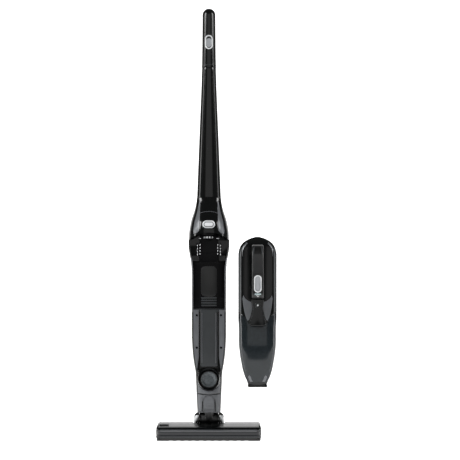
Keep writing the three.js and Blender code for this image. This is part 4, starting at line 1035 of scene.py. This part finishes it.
@dataclass
class Hood:
    """The canopy that holds the hand unit's top, with its release button and the charging contacts."""

    body: str = "stick"
    wall: float = 3.0
    lip_radius: float = 79.0
    lip_centre: float = 446.0
    rib_places: tuple[float, ...] = (22.6, 29.4)
    rib_height: float = 482.0
    mark_count: int = 4
    mark_top: float = 493.5
    mark_pitch: float = 7.6
    column_drop: float = 1.8
    contact_places: tuple[float, ...] = (-11.4, -4.6, 2.2, 9.0)
    contact_height: float = 513.0
    contact_face: float = -21.5
    hook_half: float = 6.0

    def build(self) -> None:
        """Makes the canopy, its painted reflections, the button and what's in the pocket."""
        self.shell()
        self.painted_reflections()
        self.button()
        self.pocket()

    def shell(self) -> None:
        """The canopy: hollow below, with an arched lip."""
        high = span("hood_shell")[1]
        shell = HOOD.solid("canopy", 500, high.z)
        keep(shell, block((-90, -90, 490), (90, high.y, 640)))
        inner = HOOD.solid("tool", 480, 596, -self.wall)
        cut(shell, inner)
        cut(shell, prism("tool", arc(self.lip_radius, (0, self.lip_centre), 0, 360, 120)[:-1], "y", -90, 20))
        cut(shell, self.button_hole())
        settle(shell, GLOSS, self.body, ("hood_shell",), 0.25, 2)

    def button_hole(self) -> bpy.types.Object:
        """The room that the release button slides in."""
        low, high = span("release_button")
        centre = (0, (low.z + high.z) / 2)
        return slab(
            "tool", (high.x + 0.5, (high.z - low.z) / 2 + 0.5, (high.z - low.z) / 2 + 0.4), centre, -90,
            -30
        )

    def painted_reflections(self) -> None:
        """Grey plates on either side of the centre strip, painted reflections of the softboxes, and the fine
        arched line over them.
        """
        # Painted reflection: where the softboxes show in the glossy canopy beside its centre strip.
        reflection_outline = [
            (22, 606), (25, 604), (30, 577), (36.5, 552), (40, 530), (38.5, 521.5), (30, 524), (24.5, 530),
            (23.2, 552)
        ]
        for side, name in ((1, "right"), (-1, "left")):
            plate = overlay(f"canopy_facet_{name}", HOOD, handed(reflection_outline, side), 0.5)
            settle(plate, GREY, self.body, (), 0.3)
        line = arc(60, (0, 519.5), 62, 118, 24) + arc(59, (0, 519.5), 118, 62, 24)
        settle(overlay("canopy_line", HOOD, line, 0.3), GREY, self.body, (), 0)

    def button(self) -> None:
        """The silver pill button with a grey ring and a bright centre."""
        low, high = span("release_button")
        middle, half = (low.z + high.z) / 2, (high.z - low.z) / 2
        pill = slab("button_rim", (high.x, half, half - 0.1), (0, middle), low.y, high.y, 12)
        settle(pill, SILVER, "dock_button", ("release_button",), 1.6, 4)
        ring = slab(
            "button_ring", (high.x - 3.2, half - 3.2, half - 3.3), (0, middle), low.y - 0.5, low.y + 2, 12
        )
        settle(ring, DARK, "dock_button", (), 0.4)
        core = slab(
            "button_core", (high.x - 5, half - 5, half - 5.1), (0, middle), low.y - 1.1, low.y + 1, 12
        )
        settle(core, SILVER, "dock_button", (), 0.7, 3)

    def pocket(self) -> None:
        """The contact block's face, its ribs and the small mouldings round it."""
        low, high = span("contact_block")
        face = slab(
            "contact_housing", (high.x, (high.z - low.z) / 2, 4), (0, (low.z + high.z) / 2), low.y, high.y
        )
        # The pocket's face, ribs and ledge take the painted-shade black.
        settle(face, SHADED_BLACK, self.body, ("contact_block",), 1.4, 3)
        for side in (-1, 1):
            hand = hand_of(side)
            for column, offset in enumerate(self.rib_places):
                place = (side * offset, self.rib_height)
                rib = slab(f"pocket_rib_{hand}_{column + 1}", (1.0, 17, 0.9), place, -17.0, -7)
                settle(rib, SHADED_BLACK, self.body, (), 0.4)
                for row in range(self.mark_count):
                    drop = row * self.mark_pitch
                    spot = (side * offset, self.mark_top - drop - column * self.column_drop)
                    dash = slab(
                        f"pocket_mark_{hand}_{column + 1}_{row + 1}", (0.9, 2.2, 0.8), spot, -17.9, -16.4
                    )
                    settle(dash, SILVER, self.body, (), 0.3)
            pad = slab(f"pocket_dash_{hand}", (3.2, 1.2, 1.0), (side * 23, 510), -17.4, -14)
            settle(pad, SILVER, self.body, (), 0.4)
            foot = slab(f"pocket_foot_{hand}", (8.5, 6.5, 2), (side * 34, 459), -12.6, -7)
            for height in (461.5, 456.0):
                cut(foot, slab("tool", (5.5, 0.9, 0.6), (side * 34, height), -16, -10.5))
            settle(foot, SATIN, self.body, (), 0.6)
        for number, across in enumerate(self.contact_places):
            on_hook = abs(across) < self.hook_half
            face = span("latch_hook")[0].y - 0.8 if on_hook else self.contact_face
            place = (across, self.contact_height)
            blob = slab(f"charge_contact_{number + 1}", (2.4, 2.2, 1.2), place, face, face + 3)
            settle(blob, SILVER, "dock_latch" if on_hook else self.body, (), 0.5)
        bulge = slab("pocket_bulge", (22.5, 10.5, 6), (0, 459), -15.6, -6.4)
        settle(bulge, SATIN, self.body, (), 3.2, 5)
        ledge = slab("pocket_ledge", (24, 1.4, 1.2), (0, 472), -17.4, -8)
        settle(ledge, SHADED_BLACK, self.body, (), 0.5)
        for name in ("contact_pin_left", "contact_pin_right"):
            low, high = span(name)
            centre = Vector(((low.x + high.x) / 2, high.y, (low.z + high.z) / 2))
            reach = high.y - low.y
            pin = lathe(
                f"{name}_dome", [(0, 0), (2.4, 0), (2.4, reach - 1.8), (1.8, reach - 0.5), (0, reach)],
                centre, FORWARD, 32
            )
            settle(pin, STEEL, self.body, (name,), 0)


@dataclass
class Handle:
    """The tapering handle and its rounded grip."""

    body: str = "stick"
    crown: float = 17.0
    sleeve_wall: float = 0.35
    sides: int = 96
    slot_height: float = 1012.5

    def build(self) -> None:
        """Makes both shells, the grip and the power switch."""
        self.shells()
        self.grip()
        self.power()

    def shells(self) -> None:
        """The front and back shells, which meet along the sides."""
        for name, front in (("handle_front", True), ("handle_back", False)):
            low, high = span(name)
            shell = TUBE.solid(f"{name}_shell", low.z - 0.1, high.z, pitch=5.0)
            keep(
                shell,
                block((-60, low.y - 5 if front else low.y, 600), (60, high.y if front else high.y + 5, 1000))
            )
            settle(shell, GLOSS, self.body, (name,), 0.15)

    def grip(self) -> None:
        """The grip sleeve, with a domed end and a raised arched cuff."""
        low, high = span("grip_sleeve")
        crown = self.crown
        rings = []
        heights = [low.z + (high.z - crown - low.z) * i / 30 for i in range(31)]
        rings += [TUBE.ring(z, self.sleeve_wall, self.sides) for z in heights]
        for step in range(1, 15):
            turn = math.pi / 2 * step / 15
            z = high.z - crown + crown * math.sin(turn)
            base = TUBE.ring(high.z - crown, self.sleeve_wall, self.sides)
            rings.append([(x * math.cos(turn), y * math.cos(turn), z) for x, y, _ in base])
        sleeve = stack("grip", rings)
        cut(sleeve, slab("tool", (10.6, 18.8, 10.5), (0, self.slot_height), -40, -13.6, 12))
        settle(sleeve, GLOSS, self.body, ("grip_sleeve",), 0.4)
        arch = arc(30, (0, low.z - 22), 62, 118, 24) + arc(28.9, (0, low.z - 22), 118, 62, 24)
        settle(
            overlay("grip_line", Section(STICK_HALF, STICK_FRONT, STICK_BACK, 2.4), arch, 0.6), DARK,
            self.body, (), 0
        )

    def power(self) -> None:
        """The oval silver bezel and the sliding switch in it."""
        low, high = span("switch_bezel")
        middle, half = (low.z + high.z) / 2, (high.z - low.z) / 2
        bezel = slab("power_bezel", (high.x, half, high.x - 0.1), (0, middle), low.y, high.y, 14)
        cut(bezel, slab("tool", (7.0, half - 3, 6.9), (0, middle), low.y - 2, high.y + 2, 12))
        settle(bezel, SILVER, self.body, ("switch_bezel",), 0.9, 3)
        floor = slab("power_slot", (7.4, half - 2.6, 7.3), (0, middle), high.y - 2.4, high.y - 1.2, 12)
        settle(floor, SATIN, self.body, (), 0.2)
        low, high = span("power_switch")
        middle, half = (low.z + high.z) / 2, (high.z - low.z) / 2
        slider = slab("power_slider_cap", (high.x, half, high.x - 0.1), (0, middle), low.y, high.y, 12)
        for step in (-2, -1, 0, 1, 2):
            cut(slider, slab("tool", (4.2, 0.5, 0.4), (0, middle + step * 2.6), low.y - 1, low.y + 0.6))
        settle(slider, PALE, "power_slider", ("power_switch",), 0.6)


@dataclass
class HandUnit:
    """The lift-out hand vacuum: housings, bar handle, controls and the smoked dust bin."""

    body: str = "hand_unit"

    def build(self) -> None:
        """Makes every outer piece of the hand unit."""
        self.housings()
        self.flanks()
        self.bar()
        self.controls()
        self.bin()

    def here(self, outline: list[Point2]) -> list[Point2]:
        """An outline drawn about the unit's middle, moved to where the unit stands."""
        return [(x + UNIT_SHIFT[0], z + UNIT_SHIFT[2]) for x, z in outline]

    def above_seam(self, gap: float) -> list[Point2]:
        """The region over the container's curved seam."""
        seam = [
            (0, 283), (14, 283), (17, 284.2), (20, 287.5), (23, 292.5), (26.5, 299), (30, 304.6),
            (34, 309), (39, 312.6), (44, 314.2), (60, 314.6)
        ]
        return self.here(mirrored([(x, z + gap) for x, z in seam] + [(60, 560), (0, 560)]))

    def housings(self) -> None:
        """The front and rear housings, with the oval hollow behind the bar."""
        for name, front in (("housing_front", True), ("housing_rear", False)):
            low, high = span(name)
            shell = UNIT.solid(f"{name}_shell", 275, 506.5, pitch=2.5)
            near, far = (-300, high.y) if front else (low.y, 0)
            keep(shell, block((0, near, 200), (260, far, 600)))
            keep(shell, prism("tool", self.above_seam(0.2), "y", -300, 100))
            if front:
                hollow = [
                    (0, 488), (20, 487.6), (28, 485), (33.5, 479), (36, 470), (37, 455), (37, 372),
                    (35.5, 362), (31, 354), (21, 346.5), (17, 345), (0, 345)
                ]
                cut(shell, prism("tool", self.here(mirrored(hollow)), "y", -300, -131))
            settle(shell, GLOSS, self.body, (name,), 1.0, 3)

    def flanks(self) -> None:
        """The dark grey bands down the sides, lighter shoulder plates that are painted highlights, and
        painted highlight lines down the bin's sides.
        """
        for side in (-1, 1):
            hand = hand_of(side)
            band = [(40.6, 318), (48, 318), (48, 462), (45.5, 474), (42, 483), (40, 480), (40.6, 466)]
            plate = overlay(f"flank_{hand}", UNIT, self.here(handed(band, side)), 0.4)
            settle(plate, DARK, self.body, (), 0.3)
            # Painted highlight: a lighter plate where the softboxes catch each shoulder.
            horn = [
                (27, 494), (38, 480.5), (38.5, 474), (38.8, 458), (37.8, 458), (36.8, 471), (34.2, 480.5),
                (28.6, 486.6), (25, 488.6)
            ]
            shoulder_highlight = overlay(f"shoulder_{hand}", UNIT, self.here(handed(horn, side)), 0.4)
            settle(shoulder_highlight, GREY, self.body, (), 0.2)
            patch = [
                (15, 344), (22, 346), (31, 353), (35.5, 361), (37.6, 352), (35, 330), (31.5, 314),
                (28, 303), (25, 297.4), (21, 300), (17.6, 309), (14.6, 321), (13.4, 332)
            ]
            lower = overlay(f"cheek_{hand}", UNIT, self.here(handed(patch, side)), 0.35)
            settle(lower, GREY, self.body, (), 0.3)
            # Painted highlight: a thin grey line down each side of the smoked bin.
            edge = [UNIT.half.at(z) - 5.2 for z in range(170, 311, 10)]
            line = [(x, z) for x, z in zip(edge, range(170, 311, 10))]
            line += [(x - 0.9, z) for x, z in reversed(line)]
            gleam = overlay(f"bin_side_highlight_{hand}", UNIT, self.here(handed(line, side)), 0.3)
            settle(gleam, GREY, "dust_bin", (), 0)

    def bar(self) -> None:
        """The bar handle over the hollow, with its soft pad."""
        low, high = span("bar_handle")
        back = -130.0
        turns = [math.pi / 2 * step / 8 for step in range(9)]
        foot = [(low.y + 16 - 16 * math.sin(t), low.z + 20 - 20 * math.cos(t)) for t in turns]
        crown = [(low.y + 26 - 26 * math.cos(t), high.z - 34 + 34 * math.sin(t)) for t in turns]
        outer = [(back, low.z), *foot, *crown, (back, high.z - 3)]
        arm = prism("bar", outer, "x", low.x, high.x)
        rear = back + 10
        hollow = [
            (rear, low.z + 26), (low.y + 30, low.z + 26), (low.y + 21, low.z + 34),
            (low.y + 20, low.z + 46), (low.y + 20, high.z - 44), (low.y + 23, high.z - 31),
            (low.y + 32, high.z - 24), (rear, high.z - 24)
        ]
        cut(arm, prism("tool", hollow, "x", low.x - 5, high.x + 5))
        settle(arm, SATIN, self.body, ("bar_handle",), 3.4, 5)
        middle = (low.x + high.x) / 2
        for side in (-1, 1):
            inner, outer = middle + side * 9.6, middle + side * 12.4
            edge = [
                (inner, 472), (outer, 472), (outer - side * 0.6, 486), (middle + side * 8.4, 491),
                (inner - side * 1.4, 487)
            ]
            horn = prism(f"bar_horn_{hand_of(side)}", edge, "y", low.y + 0.8, low.y + 6)
            settle(horn, DARK, self.body, (), 0.8, 3)
        low, high = span("grip_pad")
        centre = middle_of(low, high)
        pad = slab("soft_pad", ((high.x - low.x) / 2, (high.z - low.z) / 2, 5), centre, low.y, high.y + 0.6)
        settle(pad, KNURLED, self.body, ("grip_pad",), 0.6, 3)

    def controls(self) -> None:
        """The switch, the light bar, the trunk and the bin button."""
        low, high = span("unit_switch_bezel")
        centre = middle_of(low, high)
        half, tall = (high.x - low.x) / 2, (high.z - low.z) / 2
        bezel = slab("unit_bezel", (half, tall, half - 0.1), centre, low.y - 0.3, high.y, 12)
        cut(bezel, slab("tool", (half - 2.8, tall - 2.8, half - 2.9), centre, low.y - 3, low.y + 2, 12))
        track = slab(
            "unit_track", (half - 3.0, tall - 3.0, half - 3.1), centre, low.y + 1.2, low.y + 2.2, 12
        )
        settle(track, PALE, self.body, (), 0.2)
        settle(bezel, SILVER, self.body, ("unit_switch_bezel",), 0.8, 3)
        low, high = span("unit_switch")
        half, tall = (high.x - low.x) / 2, (high.z - low.z) / 2
        centre = middle_of(low, high)
        slider = slab("unit_slider_cap", (half, tall, half - 0.1), centre, low.y, high.y, 12)
        settle(slider, PALE, "unit_slider", ("unit_switch",), 0.7, 3)
        low, high = span("light_lens")
        centre = middle_of(low, high)
        lens = slab(
            "light_bar", ((high.x - low.x) / 2, (high.z - low.z) / 2, 1.4), centre, low.y - 0.3, high.y
        )
        settle(lens, LENS, self.body, ("light_lens",), 0.5)
        low, high = span("trunk_cover")
        middle = (low.x + high.x) / 2
        waist = [
            (0, high.z), (15.4, high.z), (13.6, 350), (12, 338), (12.4, 328), (15, 317), (18.6, 305),
            (20.2, 298.6)
        ]
        waist += [(18, low.z + 0.8), (0, low.z)]
        trunk = prism("trunk", [(x + middle, z) for x, z in mirrored(waist)], "y", low.y, high.y)
        settle(trunk, GLOSS, self.body, ("trunk_cover",), 1.6, 4)
        low, high = span("container_button")
        centre = middle_of(low, high)
        half, tall = (high.x - low.x) / 2, (high.z - low.z) / 2
        button = slab("bin_button_cap", (half, tall, tall - 1), centre, low.y, high.y, 10)
        settle(button, SATIN, "bin_button", ("container_button",), 0.8, 3)
        dot = lathe(
            "bin_button_dot", [(0, 0), (1.9, 0), (1.9, 0.8), (1.5, 1.1), (0, 1.1)],
            Vector((centre[0], low.y + 0.4, centre[1])), FORWARD, 32
        )
        settle(dot, SILVER, "bin_button", (), 0)
        for side in (-1, 1):
            x = centre[0]
            mark = prism(
                f"chevron_{hand_of(side)}",
                [(x, 366.4), (x + side * 3.6, 369.4), (x + side * 3.6, 370.8), (x, 367.9)], "y",
                low.y - 15.2, low.y - 13
            )
            settle(mark, SILVER, self.body, (), 0.1)

    def bin(self) -> None:
        """The smoked dust bin: a thin clear shell with its seam lip, and the nose under it with painted
        reflections on it.
        """
        low, high = span("dust_container")
        shell = UNIT.solid("smoked_bin", low.z - UNIT_SHIFT[2], 316, pitch=3.0)
        cut(shell, UNIT.solid("tool", low.z - UNIT_SHIFT[2] + 4, 330, -2.0, 3.0))
        cut(shell, prism("tool", self.above_seam(-0.2), "y", -300, 100))
        settle(shell, SMOKE, "dust_bin", ("dust_container",), 0.4)
        low, high = span("nose_tip")
        nose = UNIT.solid("nose", low.z - UNIT_SHIFT[2], high.z - UNIT_SHIFT[2], pitch=1.5)
        port, axis = Neck().port_axis()
        cut(nose, rod(13, -4, 20, port + Vector(UNIT_SHIFT), axis, 48))
        settle(nose, GLOSS, "dust_bin", ("nose_tip",), 0.8, 3)
        rim = prism(
            "nose_rim", round_rect(24.6, 10.2, 6, (UNIT_SHIFT[0], -117.2)), "z", low.z + 0.1, low.z + 6.5
        )
        cut(rim, rod(13, -4, 20, port + Vector(UNIT_SHIFT), axis, 48))
        cut(rim, rod(30.2, -12, 10.4, port + Vector(UNIT_SHIFT), axis, 64))
        settle(rim, GLOSS, "dust_bin", (), 1.6, 3)
        for side in (-1, 1):
            # Painted reflections: grey plates where the softboxes show on the nose's lower sides.
            reflection_outline = [(12, 144.5), (18.4, 143.6), (24, 156), (20.6, 161), (17, 157), (14.8, 149.5)]
            glint = overlay(f"nose_facet_{hand_of(side)}", UNIT, self.here(handed(reflection_outline, side)), 0.35)
            settle(glint, GREY, "dust_bin", (), 0.2)


@dataclass
class Inside:
    """The CAD nodes that stay as they are and only take a finish."""

    finishes: tuple[tuple[str, Finish], ...] = (
        ("head_base", SATIN),
        ("sole_plate", SATIN),
        ("head_duct", DARK),
        ("brush_motor", STEEL),
        ("drive_belt", RUBBER),
        ("brush_core", SATIN),
        ("bristle_strip_1", NYLON),
        ("bristle_strip_2", NYLON),
        ("motor_pulley", STEEL),
        # The latch hook in the pocket takes the painted-shade black too.
        ("latch_hook", SHADED_BLACK),
        ("unit_motor", STEEL),
        ("battery_pack", DARK),
        ("intake_flap", RUBBER),
        ("fan_rotor", GREY),
        ("filter_cone", FILTER),
    )

    def build(self) -> None:
        """Gives each node its finish."""
        for name, finish in self.finishes:
            slots = frame["nodes"][name].data.materials
            for index in range(len(slots)):
                slots[index] = finish.material()
            LOG.info("%s keeps its shape, %s", name, finish.name)


@dataclass(frozen=True)
class Softbox:
    """A rectangular lamp: where it stands and how high it aims, in metres, and its power in watts."""

    name: str
    spot: tuple[float, float, float]
    aim_height: float
    size: Point2
    power: float


@dataclass
class Studio:
    """A pale floor, a white backdrop, soft lights and the camera."""

    middle: float = 0.054  # metres across to the middle of the stick and the hand unit together
    eye_height: float = 0.5316
    eye_distance: float = 5.0
    focal_length: float = 152.4  # millimetres, on a sensor 36 mm wide
    surround: float = 0.12
    lamps: tuple[Softbox, ...] = (
        Softbox("softbox_front", (0.0, -6.2, 1.2), 0.55, (3.4, 4.0), 27),
        Softbox("softbox_high_left", (-2.5, -2.3, 2.3), 0.5, (1.3, 1.9), 105),
        Softbox("softbox_high_right", (2.7, -2.3, 2.3), 0.5, (1.1, 1.9), 80),
        Softbox("softbox_left", (-3.6, -1.2, 0.8), 0.5, (0.7, 2.6), 44),
        Softbox("softbox_right", (3.8, -1.2, 0.8), 0.5, (0.5, 2.6), 30),
    )

    def build(self) -> None:
        """Sets the whole stage."""
        self.floor()
        for lamp in self.lamps:
            self.light(lamp)
        self.world()
        self.camera()
        bpy.context.scene.view_settings.view_transform = "Standard"

    def sheet(self, name: str, half: tuple[float, float], place: Matrix, strength: float) -> None:
        """A large pale sheet with a faint mottling."""
        made = bpy.data.meshes.new(name)
        corners = [
            (-half[0], -half[1], 0), (half[0], -half[1], 0), (half[0], half[1], 0), (-half[0], half[1], 0)
        ]
        made.from_pydata(corners, [], [(0, 1, 2, 3)])
        made.transform(place)
        sheet = bpy.data.objects.new(name, made)
        bpy.context.scene.collection.objects.link(sheet)
        paper = bpy.data.materials.new(f"{name}_paper")
        paper.use_nodes = True
        tree = paper.node_tree
        tree.nodes.clear()
        place_at = node(tree, "ShaderNodeTexCoord").outputs["Object"]
        cloud = node(tree, "ShaderNodeTexNoise", Vector=place_at, Scale=3.0).outputs["Fac"]
        tint = node(tree, "ShaderNodeMixRGB", Fac=cloud, Color1=colour("#f6f6f6"), Color2=colour("#ffffff"))
        shader = node(
            tree, "ShaderNodeBsdfPrincipled", Base_Color=tint.outputs["Color"], Roughness=0.5,
            Emission_Color=colour("#ffffff"), Emission_Strength=strength
        )
        node(tree, "ShaderNodeOutputMaterial", Surface=shader.outputs["BSDF"])
        made.materials.append(paper)

    def floor(self) -> None:
        """The floor and the backdrop behind it."""
        self.sheet("floor", (9, 4.88), Matrix.Translation((0, 4.16, 0)), 0.72)
        self.sheet(
            "backdrop", (9, 6), Matrix.Translation((0, 8, 4)) @ Matrix.Rotation(math.radians(90), 4, "X"),
            1.0
        )

    def light(self, softbox: Softbox) -> None:
        """Hangs one softbox, facing the object."""
        lamp = bpy.data.lights.new(softbox.name, "AREA")
        lamp.shape = "RECTANGLE"
        lamp.size, lamp.size_y = softbox.size
        lamp.energy = softbox.power
        made = bpy.data.objects.new(softbox.name, lamp)
        made.location = softbox.spot
        facing = Vector((self.middle, 0, softbox.aim_height)) - Vector(softbox.spot)
        made.rotation_euler = facing.to_track_quat("-Z", "Y").to_euler()
        bpy.context.scene.collection.objects.link(made)

    def world(self) -> None:
        """An even, dim surround."""
        world = bpy.data.worlds.new("surround")
        world.use_nodes = True
        world.node_tree.nodes.clear()
        glow = node(world.node_tree, "ShaderNodeBackground", Color=colour("#ffffff"), Strength=self.surround)
        node(world.node_tree, "ShaderNodeOutputWorld", Surface=glow.outputs["Background"])
        bpy.context.scene.world = world

    def camera(self) -> None:
        """A level camera in front, far back."""
        lens = bpy.data.cameras.new("camera")
        lens.sensor_width = 36.0
        lens.lens = self.focal_length
        lens.clip_end = 60.0
        made = bpy.data.objects.new("camera", lens)
        made.location = (self.middle, -self.eye_distance, self.eye_height)
        made.rotation_euler = (math.radians(90), 0, 0)
        bpy.context.scene.collection.objects.link(made)
        bpy.context.scene.camera = made


def main() -> None:
    """Builds the finishes, the pieces and the stage."""
    logging.basicConfig(level=logging.INFO, format="%(name)s %(message)s")
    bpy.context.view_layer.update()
    for part in (Inside(), FloorHead(), Neck(), Dock(), Hood(), Handle(), HandUnit(), Studio()):
        LOG.info("building %s", type(part).__name__)
        part.build()


if __name__ == "__main__":
    main()
